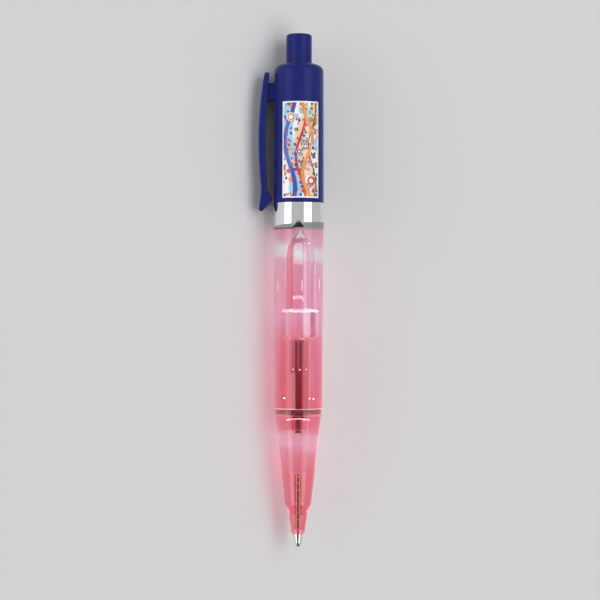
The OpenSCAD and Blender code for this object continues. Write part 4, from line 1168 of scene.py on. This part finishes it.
finishes = {
    "cam_guide": whitePlastic, "cam_rotor": whitePlastic, "cell_carrier": whitePlastic,
    "contact_pin": brass, "contact_strip": brass, "button_cell_1": cellSteel, "button_cell_2": cellSteel,
    "button_cell_3": cellSteel, "lamp_anode": leadWire, "lamp_cathode": leadWire, "point_ball": ballMetalAndPaintedLight,
    "lamp": lampResin(),
}
for name, finish in finishes.items():
    frame["nodes"][name].data.materials.clear()
    frame["nodes"][name].data.materials.append(finish)
print("hidden pieces dressed")

# Floor, lights and camera
stage = {"size": 3.0, "pale": (0.70, 0.70, 0.70), "shade": (0.68, 0.68, 0.685), "grain": 6.0}


def floorPiece(s):
    made, tree, shader = newMaterial("paleFloor", Roughness=0.7, Specular_IOR_Level=0.2)
    cloud = noise(tree, add(tree, "TexCoord").outputs["Object"], s["grain"], 3.0)
    feed(tree, shader, Base_Color=blendColour(tree, cloud, s["shade"], s["pale"]))
    mesh = bpy.data.meshes.new("pale_floor")
    h = s["size"] / 2
    mesh.from_pydata([(-h, -h, 0), (h, -h, 0), (h, h, 0), (-h, h, 0)], [], [(0, 1, 2, 3)])
    mesh.materials.append(made)
    floor = bpy.data.objects.new("pale_floor", mesh)
    scene.collection.objects.link(floor)


floorPiece(stage)

lamps = {  # turn from the label's side to +x, offset along the pen, distance, width, length (m), power (W)
    "rightBox": (42.3, 0.02, 0.62, 0.4, 0.9, 2.5),
    "leftBox": (-56.7, 0.02, 0.62, 0.51, 0.9, 3.0),
}


def softbox(name, turn, offset, far, wide, tall, power):
    light = bpy.data.lights.new(name, "AREA")
    light.shape, light.size, light.size_y, light.energy = "RECTANGLE", wide, tall, power
    made = bpy.data.objects.new(name, light)
    scene.collection.objects.link(made)
    a = math.radians(turn)
    out = across * math.sin(a) + labelSide * math.cos(a)
    spot = Vector((axisX, offset, axisZ)) + out * far
    made.matrix_world = axesAt(spot, penUp.cross(out).normalized(), penUp, out)


for name, settings in lamps.items():
    softbox(name, *settings)
room = {"pale": (0.5, 0.5, 0.505), "dark": (0.03, 0.03, 0.03), "half": 0.2, "flare": 3.6, "most": 0.6,
        "side": (0, 0.06), "start": (-0.03, 0.02), "end": (0.76, 0.66), "front": (0, 0.1)}


def paintRoom(tree, r):  # pale all round, with a dark part towards the tip that widens downwards
    way = add(tree, "TexCoord").outputs["Generated"]
    down, side, out = (dot(tree, way, axis) for axis in (-penUp, across, labelSide))
    width = calc(tree, "MINIMUM", calc(tree, "MULTIPLY_ADD", down, r["flare"], r["half"]), r["most"])
    within = calc(tree, "SUBTRACT", width, calc(tree, "ABSOLUTE", side))
    dark = spread(tree, within, *r["side"])
    for value, fade in ((down, "start"), (down, "end"), (out, "front")):
        dark = calc(tree, "MULTIPLY", dark, spread(tree, value, *r[fade]))
    feed(tree, tree.nodes["Background"], Color=blendColour(tree, dark, r["pale"], r["dark"]))


world = bpy.data.worlds.new("studio")
world.use_nodes = True
paintRoom(world.node_tree, room)
scene.world = world
scene.view_settings.view_transform = "Standard"

shot = {"far": 0.5, "near": 0.01, "frame": 0.16365, "sensor": 36, "along": 67.45, "right": 0.00041,
        "tilt": 0.13}
camera = bpy.data.objects.new("camera", bpy.data.cameras.new("camera"))
scene.collection.objects.link(camera)
camera.data.sensor_width = shot["sensor"]
camera.data.lens = shot["sensor"] * shot["far"] / shot["frame"]
camera.data.clip_start = shot["near"]
aim = Vector((axisX, tipY + shot["along"] * mm, axisZ)) + across * shot["right"]
tilt = Matrix.Rotation(math.radians(shot["tilt"]), 4, "Z")
camera.matrix_world = axesAt(aim + labelSide * shot["far"], across, penUp, labelSide) @ tilt
scene.camera = camera
print("stage set")
